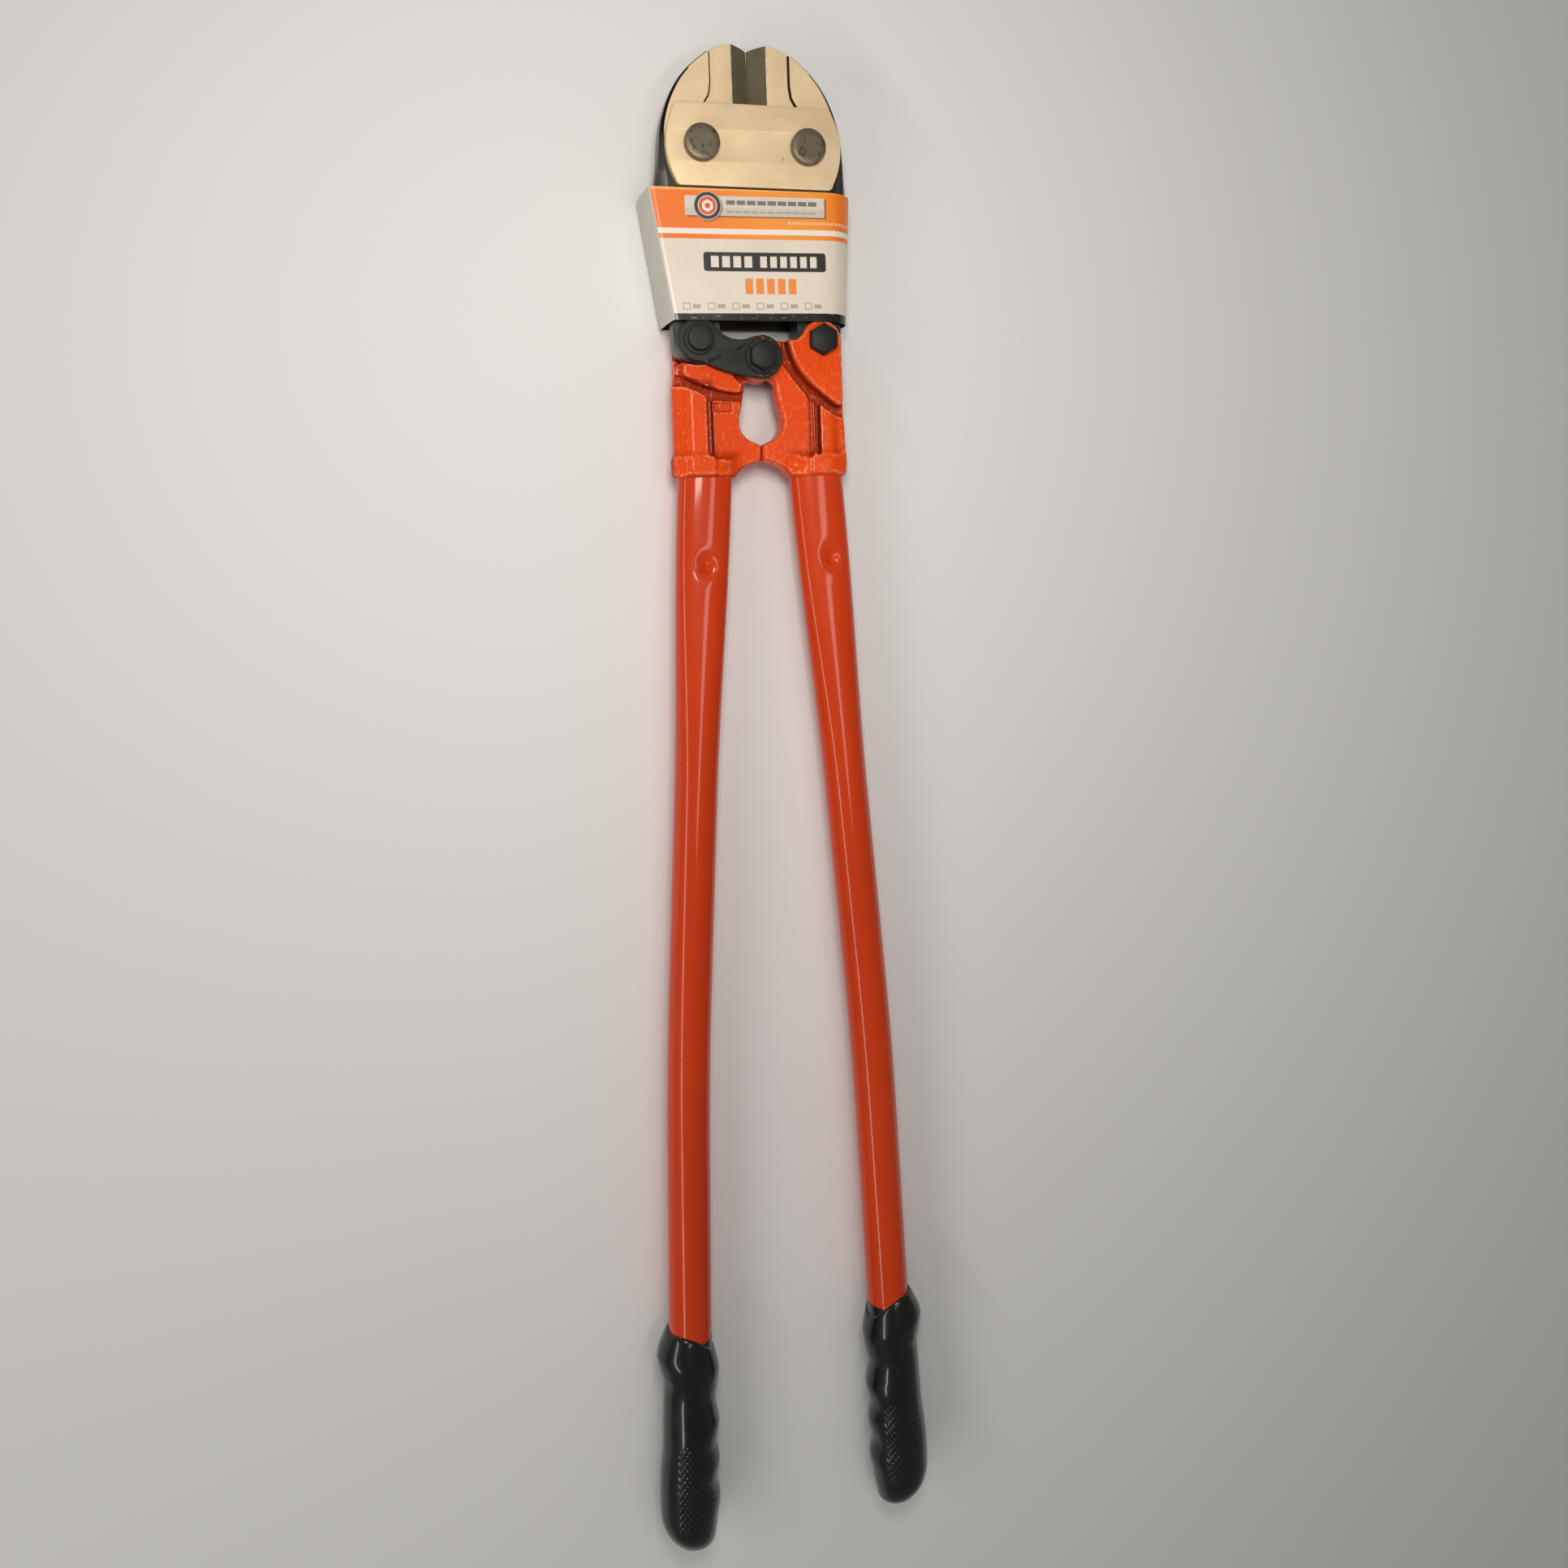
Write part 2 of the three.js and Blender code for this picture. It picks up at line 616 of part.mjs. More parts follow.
function grip() {
  const skin = GRIP_RINGS.map(([outer, outerY, inner, innerY, half]) => {
    const axis = tubeAxisX((outerY + innerY) / 2);
    return ring({ x: axis + inner, y: innerY }, { x: axis + outer, y: outerY }, half);
  });
  const bore = [GRIP_RINGS[0][1] + 12, TUBE_END_Y - GAP].map((y) => tubeRing(y, -GAP));
  return cut(loft(skin), loft(bore));
}

// ---------------------------------------------------------------- links and bolts

function linkPlate(slotted) {
  const shape = new THREE.Shape();
  shape.absarc(0, 0, LINK_EYE_R, 0.52 * Math.PI, 1.5 * Math.PI, false);
  shape.quadraticCurveTo(20, -10.8, 35, -3.2);
  shape.lineTo(39.5, -2.3);
  shape.absarc(OUTER_BOLT.x, OUTER_BOLT.y, LINK_BOLT_END_R, -0.44 * Math.PI, 0.78 * Math.PI, false);
  shape.quadraticCurveTo(20, 7.8, 9, 10.2);
  const hole = CENTRE_BOLT_R + HOLE_CLEARANCE;
  const eyeHole = slotted
    ? slab(twoCircles({ x: 0, y: 0, r: hole }, SLOT_END), -LINK_OUT - 1, -LINK_IN + 1)
    : disc(CENTRE, hole, -LINK_OUT - 1, -LINK_IN + 1);
  return cut(
    slab(shape, -LINK_OUT, -LINK_IN, 10),
    eyeHole,
    disc(OUTER_BOLT, OUTER_BOLT_R + HOLE_CLEARANCE, -LINK_OUT - 1, -LINK_IN + 1),
  );
}

function outerBolt() {
  const seat = EAR_OUT + GAP;
  return union(
    hexagon(OUTER_BOLT, OUTER_HEAD_FLATS, seat, OUTER_HEAD_TOP, 1),
    disc(OUTER_BOLT, OUTER_BOLT_R, OUTER_SHANK_END, seat + 1),
  );
}

// A round nut with a collar, on the link plate.
function outerNut() {
  const seat = -LINK_OUT - GAP;
  const bore = OUTER_BOLT_R + 0.05;
  return turned(OUTER_BOLT, [[bore, OUTER_SHANK_END], [OUTER_NUT_R - 0.6, OUTER_SHANK_END],
    [OUTER_NUT_R, OUTER_SHANK_END + 0.6], [OUTER_NUT_R, seat - 1.4], [OUTER_COLLAR_R, seat - 1.2],
    [OUTER_COLLAR_R, seat], [bore, seat], [bore, OUTER_SHANK_END]]);
}

function centreBolt() {
  return union(
    hexagon(CENTRE, CENTRE_HEAD_FLATS, CENTRE_HEAD_SEAT, CENTRE_HEAD_TOP, 1),
    disc(CENTRE, CENTRE_BOLT_R, -CENTRE_HEAD_TOP, CENTRE_HEAD_SEAT + 1),
  );
}

function centreNut() {
  return cut(
    hexagon(CENTRE, CENTRE_HEAD_FLATS, -CENTRE_HEAD_TOP, -CENTRE_HEAD_SEAT, -1),
    disc(CENTRE, CENTRE_BOLT_R + HOLE_CLEARANCE, -CENTRE_HEAD_TOP - 1, 0),
  );
}

function centreWasher(z0, radius) {
  return cut(
    disc(CENTRE, radius, z0, z0 + WASHER),
    disc(CENTRE, CENTRE_BOLT_R + HOLE_CLEARANCE, z0 - 1, z0 + WASHER + 1),
  );
}

// ---------------------------------------------------------------- assembly

// How far each jaw turns when its handle opens fully: the outer bolt moves so that the
// link keeps the centre bolt on the middle line.
function fullJawOpening() {
  const tail = Math.hypot(OUTER_BOLT.x - JAW_PIVOT.x, JAW_PIVOT.y - OUTER_BOLT.y);
  const link = Math.hypot(OUTER_BOLT.x, OUTER_BOLT.y);
  const rise = Math.atan2(OUTER_BOLT.y, OUTER_BOLT.x);
  const lean = (boltX) => Math.asin((boltX - JAW_PIVOT.x) / tail);
  return lean(OUTER_BOLT.x) - lean(link * Math.cos(rise + OPENING_PER_HANDLE));
}

function mirrorPoint(point) {
  return { x: -point.x, y: point.y };
}

const jawOpening = fullJawOpening();
const tool = new THREE.Group();
const right = new THREE.Group();
const left = new THREE.Group();
left.rotation.y = Math.PI;
tool.add(right, left);

for (const [side, group] of [['right', right], ['left', left]]) {
  const isRight = side === 'right';
  const linkName = isRight ? 'rear_link_plate' : 'front_link_plate';
  group.add(
    piece(`jaw_${side}`, jaw(), finishes.jawSteel),
    piece(`handle_head_${side}`, handleHead(isRight, jawOpening), finishes.orangePaint),
    piece(`handle_tube_${side}`, handleTube(), finishes.tubePaint),
    piece(`grip_${side}`, grip(), finishes.blackGrip),
    piece(linkName, linkPlate(isRight), finishes.blackSteel),
    piece(`outer_bolt_${side}`, outerBolt(), finishes.blackSteel),
    piece(`outer_nut_${side}`, outerNut(), finishes.blackSteel),
  );
  const pivot = isRight ? JAW_PIVOT : mirrorPoint(JAW_PIVOT);
  tool.add(
    piece(`jaw_pivot_bolt_${side}`, jawPivotBolt(pivot), finishes.boltSteel),
    piece(`jaw_pivot_nut_${side}`, jawPivotNut(pivot), finishes.boltSteel),
  );
}

tool.add(
  piece('front_clamp_plate', clampPlate(CLAMP_IN, CLAMP_OUT), finishes.groundSteel),
  piece('rear_clamp_plate', clampPlate(-CLAMP_OUT, -CLAMP_IN), finishes.groundSteel),
  piece('card_sleeve', cardSleeve(), finishes.card),
  piece('centre_bolt', centreBolt(), finishes.blackSteel),
  piece('centre_nut', centreNut(), finishes.blackSteel),
  piece('front_centre_washer', centreWasher(LINK_OUT + GAP, CENTRE_WASHER_R), finishes.blackSteel),
  piece(
    'rear_centre_washer',
    centreWasher(-LINK_OUT - GAP - WASHER, CENTRE_REAR_WASHER_R),
    finishes.blackSteel,
  ),
);

tool.position.set(0, -(TIP_Y + GRIP_END_Y) / 2, UNDERSIDE);

const boltCutters = new THREE.Group();
boltCutters.add(tool);
export default boltCutters;
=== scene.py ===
"""Heavy-duty bolt cutters with tubular handles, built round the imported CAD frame.

Shapes are drawn in millimetres from the axis of the centre bolt, at mid-thickness, and
moved to the frame's metres when a piece is made. Left-hand pieces are the right-hand
drawings turned half a turn about the long axis, as on the real tool.
"""
import math

import bmesh
import bpy
import numpy as np
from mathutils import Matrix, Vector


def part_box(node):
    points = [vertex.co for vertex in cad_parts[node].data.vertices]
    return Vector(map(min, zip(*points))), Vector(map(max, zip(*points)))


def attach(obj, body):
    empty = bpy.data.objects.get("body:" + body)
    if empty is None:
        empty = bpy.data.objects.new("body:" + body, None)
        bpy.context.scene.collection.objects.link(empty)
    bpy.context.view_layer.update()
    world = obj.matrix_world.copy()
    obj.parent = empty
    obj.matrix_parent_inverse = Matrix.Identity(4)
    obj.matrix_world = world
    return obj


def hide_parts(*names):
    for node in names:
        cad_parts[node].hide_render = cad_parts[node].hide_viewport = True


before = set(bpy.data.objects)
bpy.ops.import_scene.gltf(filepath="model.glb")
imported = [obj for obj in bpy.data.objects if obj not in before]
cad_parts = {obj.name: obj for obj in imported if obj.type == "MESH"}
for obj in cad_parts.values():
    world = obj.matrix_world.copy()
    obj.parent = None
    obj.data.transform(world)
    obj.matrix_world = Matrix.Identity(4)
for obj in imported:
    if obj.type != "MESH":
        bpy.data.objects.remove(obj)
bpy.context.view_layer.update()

import openvdb
from mathutils import Matrix, Vector, noise

MM = 0.001


def middle(node):
    """The middle of a CAD node's box, in the frame's metres."""
    low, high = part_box(node)
    return (low + high) / 2


ORIGIN = Vector((middle("centre_bolt").x, middle("centre_bolt").y, middle("jaw_right").z))


def level(node, side):
    """The highest (side 1) or lowest (side 0) level of a CAD node, in drawing millimetres."""
    return (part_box(node)[side].z - ORIGIN.z) / MM


# Driving dimensions, in millimetres
JAW_PIVOT = ((middle("jaw_pivot_bolt_right") - ORIGIN) / MM).to_2d()
OUTER_BOLT = ((middle("outer_bolt_right") - ORIGIN) / MM).to_2d()
TIP_Y = (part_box("jaw_right")[1].y - ORIGIN.y) / MM
GRIP_END_Y = (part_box("grip_right")[0].y - ORIGIN.y) / MM
JAW_HALF = level("jaw_right", 1)
CLAMP_IN = level("front_clamp_plate", 0)
CLAMP_OUT = level("front_clamp_plate", 1)
LINK_IN = level("front_link_plate", 0)
LINK_OUT = level("front_link_plate", 1)
EAR_OUT = level("handle_head_right", 1)
GAP = 0.3
JAW_NOSE_HALF = 7.2
EDGE_HALF = 0.25
BEVEL_WIDTH = 10.3
NOTCH_Y = 178.2
NOSE_LOW = 140
NOSE_STEP_X = 23
TAIL_RADIUS = 13.5
EAR_IN = 9.5
EYE_R = 13.3
SOCKET_Y = -69.2
TUBE_R = 13.25
TUBE_WALL = 2
CARD = 0.7
CLAMP_HOLE = 8.2
CENTRE_HOLE = 6.1
OUTER_HOLE = 6.3
OPENING = math.radians(50)
SIDES = 72


# ---------------- outlines

def arc(centre, radius, start, end, steps=16):
    """Points on an arc, angles in degrees."""
    turns = np.radians(np.linspace(start, end, steps + 1))
    return [(centre[0] + radius * math.cos(t), centre[1] + radius * math.sin(t)) for t in turns]


def round_hole(centre, radius):
    """The outline of a round hole."""
    return arc(centre, radius, 0, 352.5, 47)


def curve(*controls, steps=10):
    """Points on a Bezier curve of any degree, without its first point."""
    made = []
    for t in np.linspace(0, 1, steps + 1)[1:]:
        row = [np.array(c, float) for c in controls]
        while len(row) > 1:
            row = [a + (b - a) * t for a, b in zip(row, row[1:])]
        made.append(tuple(row[0]))
    return made


def path(*parts):
    """An outline of parts: each is a point, or a list of points that a curve is bent by."""
    made = []
    last = None
    for part in parts:
        if isinstance(part, list):
            made += curve(last, *part)
            last = part[-1]
        else:
            made.append(part)
            last = part
    return made


def through(points, steps=8):
    """Points on a smooth curve through every point of a list, of any dimension."""
    points = np.array(points, float)
    padded = np.vstack([2 * points[0] - points[1], points, 2 * points[-1] - points[-2]])
    made = [points[0]]
    for p0, p1, p2, p3 in zip(padded, padded[1:], padded[2:], padded[3:]):
        for t in np.linspace(0, 1, steps + 1)[1:]:
            made.append(0.5 * (2 * p1 + (p2 - p0) * t + (2 * p0 - 5 * p1 + 4 * p2 - p3) * t ** 2
                               + (3 * p1 - p0 - 3 * p2 + p3) * t ** 3))
    return [tuple(p) for p in made]


# ---------------- solid fields

def distance(outline, x, y):
    """Signed distance from grid points to a closed outline, negative inside it."""
    nearest = np.full(np.broadcast(x, y).shape, 1e9)
    inside = np.zeros(nearest.shape, bool)
    for (ax, ay), (bx, by) in zip(outline, outline[1:] + outline[:1]):
        along_x, along_y = bx - ax, by - ay
        length = along_x ** 2 + along_y ** 2
        if length == 0:
            continue
        share = np.clip(((x - ax) * along_x + (y - ay) * along_y) / length, 0, 1)
        nearest = np.minimum(
            nearest, (x - ax - along_x * share) ** 2 + (y - ay - along_y * share) ** 2)
        if ay != by:
            inside ^= ((ay > y) != (by > y)) & (x < ax + (y - ay) / (by - ay) * along_x)
    return np.where(inside, -1, 1) * np.sqrt(nearest)


def joined(a, b, fillet):
    """The union of two fields, with a fillet where they meet."""
    near = np.maximum(fillet - np.abs(a - b), 0) / fillet
    return np.minimum(a, b) - near ** 2 * fillet / 4


def common(a, b, rounding):
    """The intersection of two fields, with rounded edges."""
    return -joined(-a, -b, rounding)


def without(a, b, rounding=0.9):
    """The first field with the second cut out of it, with rounded edges."""
    return common(a, -b, rounding)


def slab(flat, z, low, high, rounding, draft=0.05):
    """A flat field raised from low to high; its walls lean in away from the middle plane."""
    return common(flat + draft * np.abs(z), np.abs(z - (low + high) / 2) - (high - low) / 2,
                  rounding)


def oval(across, z, half_width, half_thickness, power=2.0):
    """A bar of oval section; a power above 2 squares the oval up."""
    size = ((np.abs(across) / half_width) ** power
            + (np.abs(z) / half_thickness) ** power) ** (1 / power)
    return (size - 1) * min(half_width, half_thickness)


def field_mesh(field, corner, pitch):
    """Vertices and faces of a field's surface; corner is the place of its first sample."""
    grid = openvdb.FloatGrid(background=float(4 * pitch))
    grid.copyFromArray(np.clip(field, -4 * pitch, 4 * pitch).astype(np.float32))
    vertices, faces = grid.convertToQuads(0.0)
    return np.array(vertices) * pitch + np.array(corner), faces


# ---------------- meshes

def ring_faces(stations, sides, closed=True):
    """Quads of a skin over rings of points; closed also caps its two ends."""
    faces = []
    for k in range(stations - 1):
        for i in range(sides):
            a, b = k * sides + i, k * sides + (i + 1) % sides
            faces.append((a, b, b + sides, a + sides))
    if closed:
        faces.append(tuple(reversed(range(sides))))
        faces.append(tuple(range((stations - 1) * sides, stations * sides)))
    return faces


def loop_faces(stations, sides):
    """Quads of a skin whose last ring is joined to its first one."""
    last = (stations - 1) * sides
    joint = [(last + i, last + (i + 1) % sides, (i + 1) % sides, i) for i in range(sides)]
    return ring_faces(stations, sides, closed=False) + joint


def polar(rings, centre=(0, 0), turned_over=False):
    """A turned piece from rings of (radius, z), radius a number or one for each side."""
    angle = 2 * np.pi * np.arange(SIDES) / SIDES
    points = []
    for radius, z in rings:
        radius = np.broadcast_to(radius, angle.shape)
        points.append(np.column_stack([
            centre[0] + radius * np.cos(angle),
            centre[1] + radius * np.sin(angle),
            np.broadcast_to(z, angle.shape)]))
    points = np.concatenate(points)
    if turned_over:
        points[:, 2] *= -1
    return points, ring_faces(len(rings), SIDES)


def bored(rings, centre=(0, 0), turned_over=False):
    """Like polar, but the last ring is the first one again, so the piece is a ring."""
    points, faces = polar(rings, centre, turned_over)
    last = (len(rings) - 1) * SIDES
    walls = faces[:-2]
    return points[:last], [tuple(v - last if v >= last else v for v in face) for face in walls]


def hexagon(flats):
    """The radius of a hexagon in each direction, with a corner towards +Y."""
    angle = np.arange(SIDES) * (360 / SIDES)
    return flats / 2 / np.cos(np.radians((angle - 90) % 60 - 30))


def hex_rings(flats, low, high, bore=0.0):
    """A hexagon head or nut from low to high, chamfered at high."""
    corner = hexagon(flats)
    rim = flats / 2 * 0.97
    slope = math.tan(math.radians(30))

    def crown(radius):
        return high - 0.25 - np.maximum(radius - rim, 0) * slope

    rings = [(corner - 0.35, low), (corner, low + 0.35), (corner, crown(corner) - 0.3),
             (corner - 0.25, crown(corner - 0.25)),
             (rim + (corner - rim) * 0.5, crown(rim + (corner - rim) * 0.5)),
             (rim, high - 0.25), (rim - 0.5, high)]
    if bore:
        return [(bore, low), *rings, (bore + 0.6, high), (bore, high - 0.6), (bore, low)]
    return rings


def add_object(name, data):
    """A new object in the scene."""
    made = bpy.data.objects.new(name, data)
    bpy.context.scene.collection.objects.link(made)
    return made


def plate(outlines, low, high, edge):
    """A flat plate with rounded edges; outlines after the first are holes."""
    data = bpy.data.curves.new("outline", "CURVE")
    data.dimensions = "2D"
    data.fill_mode = "BOTH"
    data.extrude = (high - low) / 2 - edge
    data.bevel_depth = edge
    data.bevel_resolution = 3
    data.offset = -edge
    for outline in outlines:
        spline = data.splines.new("POLY")
        spline.points.add(len(outline) - 1)
        for point, (x, y) in zip(spline.points, outline):
            point.co = (x, y, 0, 1)
        spline.use_cyclic_u = True
    source = add_object("outline", data)
    mesh = bpy.data.meshes.new_from_object(
        source.evaluated_get(bpy.context.evaluated_depsgraph_get()))
    bpy.data.objects.remove(source)
    shape = bmesh.new()
    shape.from_mesh(mesh)
    bmesh.ops.remove_doubles(shape, verts=shape.verts, dist=1e-4)
    bmesh.ops.recalc_face_normals(shape, faces=shape.faces)
    points = np.array([v.co for v in shape.verts]) + (0, 0, (low + high) / 2)
    faces = [tuple(v.index for v in face.verts) for face in shape.faces]
    shape.free()
    return points, faces


def merged(*parts):
    """Several meshes as one."""
    points, faces, used = [], [], 0
    for part_points, part_faces in parts:
        points.append(part_points)
        faces += [tuple(int(v) + used for v in face) for face in part_faces]
        used += len(part_points)
    return np.concatenate(points), faces


def make(name, shape, materials, body, nodes, left=False, sharp=35, choose=None):
    """A finished piece from drawing points and faces. It rides on body and stands for nodes.

    choose gives each face's material number from its centre and normal in drawing axes.
    """
    points, faces = shape
    points = np.array(points, float)
    if left:
        points = points * (-1, 1, -1)
    mesh = bpy.data.meshes.new(name)
    mesh.from_pydata(points.tolist(), [], [tuple(int(v) for v in face) for face in faces])
    for material in materials:
        mesh.materials.append(material)
    work = bmesh.new()
    work.from_mesh(mesh)
    bmesh.ops.recalc_face_normals(work, faces=work.faces)
    for face in work.faces:
        face.smooth = True
        if choose:
            centre, normal = face.calc_center_median(), face.normal
            if left:
                centre = Vector((-centre.x, centre.y, -centre.z))
                normal = Vector((-normal.x, normal.y, -normal.z))
            face.material_index = choose(centre, normal)
    for edge in work.edges:
        edge.smooth = edge.calc_face_angle(0) < math.radians(sharp)
    work.transform(Matrix.Translation(ORIGIN) @ Matrix.Scale(MM, 4))
    work.to_mesh(mesh)
    work.free()
    piece = add_object(name, mesh)
    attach(piece, body)
    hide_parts(*nodes)
    return piece


# ---------------- material nodes

def rgb(red, green, blue):
    """A display colour, 0 to 255, as linear light."""
    return tuple(
        c / 255 / 12.92 if c <= 10 else ((c / 255 + 0.055) / 1.055) ** 2.4
        for c in (red, green, blue)) + (1,)


def add_node(tree, kind, inputs, **settings):
    """A new node; each input, by name or place, gets a number, a colour, a Value or a socket."""
    node = tree.nodes.new("ShaderNode" + kind)
    for setting, value in settings.items():
        setattr(node, setting, value)
    for place, item in inputs.items():
        if isinstance(item, Value):
            item = item.socket
        if isinstance(item, bpy.types.NodeSocket):
            tree.links.new(item, node.inputs[place])
        else:
            node.inputs[place].default_value = item
    return node


class Value:
    """A number in a material; arithmetic on it adds nodes."""

    def __init__(self, tree, socket):
        self.tree = tree
        self.socket = socket

    def math(self, operation, *others):
        inputs = dict(enumerate((self, *others)))
        node = add_node(self.tree, "Math", inputs, operation=operation)
        return Value(self.tree, node.outputs[0])

    def __add__(self, other):
        return self.math("ADD", other)

    def __sub__(self, other):
        return self.math("SUBTRACT", other)

    def __mul__(self, other):
        return self.math("MULTIPLY", other)

    def abs(self):
        return self.math("ABSOLUTE")

    def max(self, other):
        return self.math("MAXIMUM", other)

    def min(self, other):
        return self.math("MINIMUM", other)

    def flip(self):
        return self * -1 + 1

    def rise(self, low, high):
        """0 below low, 1 above high, smooth between; the other way if high is below low."""
        first, last, start, end = (low, high, 0, 1) if low < high else (high, low, 1, 0)
        inputs = {"Value": self, "From Min": first, "From Max": last, "To Min": start, "To Max": end}
        node = add_node(self.tree, "MapRange", inputs, interpolation_type="SMOOTHSTEP")
        return Value(self.tree, node.outputs["Result"])


class Finish:
    """A procedural material, drawn in the same millimetres as the shapes."""

    def __init__(self, name, **settings):
        self.material = bpy.data.materials.new(name)
        self.material.use_nodes = True
        self.tree = self.material.node_tree
        self.shader = self.tree.nodes["Principled BSDF"]
        for setting, number in settings.items():
            self.shader.inputs[setting.replace("_", " ")].default_value = number
        place = add_node(self.tree, "TexCoord", {}).outputs["Object"]
        moved = self.vector("SUBTRACT", place, tuple(ORIGIN))
        self.place = self.vector("SCALE", moved, 1 / MM)
        parts = add_node(self.tree, "SeparateXYZ", {0: self.place})
        self.x, self.y, self.z = (Value(self.tree, out) for out in parts.outputs)

    def vector(self, operation, first, second):
        inputs = {0: first, "Scale" if operation == "SCALE" else 1: second}
        return add_node(self.tree, "VectorMath", inputs, operation=operation).outputs[0]

    def noise(self, size, detail=2.0, roughness=0.5, stretch=(1, 1, 1), distortion=0.0):
        """Noise about 0.5, with features of about the given size in millimetres."""
        stretched = self.vector("MULTIPLY", self.place, stretch)
        inputs = {"Vector": stretched, "Scale": 1 / size, "Detail": detail,
                  "Roughness": roughness, "Distortion": distortion}
        return Value(self.tree, add_node(self.tree, "TexNoise", inputs).outputs[0])

    def attribute(self, name):
        """A value stored on the mesh's vertices."""
        node = add_node(self.tree, "Attribute", {}, attribute_name=name)
        return Value(self.tree, node.outputs["Fac"])

    def mix(self, share, first, second):
        """A colour between first and second; each is a display colour or an earlier mix."""
        first, second = (rgb(*c) if isinstance(c, tuple) else c for c in (first, second))
        inputs = {0: share, 6: first, 7: second}
        return add_node(self.tree, "Mix", inputs, data_type="RGBA").outputs[2]

    def colour(self, socket):
        self.tree.links.new(socket, self.shader.inputs["Base Color"])

    def bump(self, height):
        """Surface relief from a height in millimetres."""
        node = add_node(self.tree, "Bump", {"Distance": MM, "Height": height})
        self.tree.links.new(node.outputs["Normal"], self.shader.inputs["Normal"])

    def finished(self, colour, roughness, height):
        """The material, with its colour, roughness and relief put in."""
        self.colour(colour)
        self.tree.links.new(roughness.socket, self.shader.inputs["Roughness"])
        self.bump(height)
        return self.material


# ---------------- materials

def ground_face(f, stretch, cloud_size, dark, light, spots):
    """A ground face's grain, its grinding lines and its mottled colour."""
    grain = f.noise(0.7, 3, 0.6)
    lines = f.noise(3, 3, 0.6, stretch=stretch)
    cloud = f.noise(cloud_size, 3, 0.55)
    base = f.mix(cloud.rise(0.35, 0.7), dark, light)
    return grain, lines, f.mix(grain.rise(0.3, 0.75) * 0.35, base, spots)


def ground_steel():
    """Blast-ground alloy steel, warm and pale, with faint stains and scratches."""
    f = Finish("ground_steel", Metallic=0.25, Specular_IOR_Level=0.35)
    grain, lines, base = ground_face(f, (0.12, 5, 1), 24, (236, 208, 166), (246, 220, 180),
                                     (206, 180, 142))
    stain = f.noise(9, 3, 0.6, distortion=0.6).rise(0.66, 0.78)
    scratch = f.noise(5, 1, 0.4, stretch=(1.6, 0.6, 1)).rise(0.76, 0.8)
    base = f.mix(stain * 0.35, base, (190, 150, 90))
    return f.finished(
        f.mix(scratch * 0.5, base, (120, 104, 84)),
        grain * 0.16 + (lines * 0.14) + 0.34,
        grain * 0.02 + (lines * 0.012) - (scratch * 0.05))


def jaw_top():
    """The jaws' ground faces; towards the tails the grinding stops and the forging is black."""
    f = Finish("jaw_ground", Metallic=0.25, Specular_IOR_Level=0.35)
    grain, lines, base = ground_face(f, (5, 0.12, 1), 18, (242, 215, 172), (251, 226, 186),
                                     (200, 174, 136))
    black = (f.y + f.noise(6, 2) * 10).rise(136, 126)
    return f.finished(
        f.mix(black, base, (48, 45, 42)),
        grain * 0.16 + (lines * 0.12) + 0.34,
        grain * 0.02 + (lines * 0.01))


def jaw_bevel():
    """The ground faces of the cutting edges, in a darker steel than the jaws' faces: painted shade for
    faces turned from the light.
    """
    f = Finish("jaw_bevel", Metallic=0.3, Specular_IOR_Level=0.3)
    lines = f.noise(2.5, 3, 0.6, stretch=(0.15, 6, 1))
    cloud = f.noise(6, 2)
    # painted shade: the bevels' steel colour is darkened to stand for faces turned from the light
    return f.finished(
        f.mix(cloud, (98, 91, 70), (124, 114, 88)),
        lines * 0.2 + 0.45,
        lines * 0.02)


def jaw_edge():
    """Bright edges of the ground faces beside the cutting bevels: a painted highlight."""
    f = Finish("jaw_edge", Metallic=0.4)
    cloud = f.noise(4, 3)
    return f.finished(
        f.mix(cloud.rise(0.3, 0.7), (236, 212, 172), (255, 244, 220)),
        cloud * 0.15 + 0.25,
        cloud * 0.02)


def jaw_step():
    """The rough wall of the step in the jaws' faces, dark with scale."""
    f = Finish("jaw_step", Specular_IOR_Level=0.2)
    cloud = f.noise(2, 3)
    return f.finished(
        f.mix(cloud, (34, 22, 14), (52, 36, 24)),
        cloud * 0.2 + 0.6,
        cloud * 0.05)


def jaw_side():
    """The forged sides of the jaws, oiled black."""
    f = Finish("jaw_side", Metallic=0.35, Coat_Weight=0.25, Coat_Roughness=0.2)
    grain = f.noise(1.6, 3, 0.6)
    cloud = f.noise(14, 2)
    return f.finished(
        f.mix(cloud, (26, 25, 24), (44, 41, 37)),
        grain * 0.2 + 0.3,
        grain * 0.08 + (cloud * 0.3))


def jaw_chamfer():
    """The corner between the jaws' faces and their forged sides: black towards the tip, and lighter
    grey towards the tail as a painted highlight.
    """
    f = Finish("jaw_chamfer", Metallic=0.8)
    cloud = f.noise(5, 3)
    # painted highlight: the corner turns lighter grey below the ground area
    highlight_share = f.y.rise(134, 118)
    return f.finished(
        f.mix(highlight_share, (34, 31, 28), f.mix(cloud, (58, 56, 52), (112, 108, 100))),
        cloud * 0.2 + 0.28,
        cloud * 0.1)


def pivot_steel():
    """Brown-black hardened bolts with darker worn patches."""
    f = Finish("pivot_steel", Metallic=0.4)
    grain = f.noise(0.6, 2, 0.6)
    cloud = f.noise(4.5, 3, 0.6)
    patch = f.noise(5, 3, 0.55, distortion=0.8).rise(0.55, 0.66)
    base = f.mix(cloud, (98, 89, 72), (126, 113, 90))
    return f.finished(
        f.mix(patch * 0.75, base, (46, 42, 37)),
        grain * 0.2 + (patch * 0.12) + 0.32,
        grain * 0.03 - (patch * 0.05) + (cloud * 0.08))


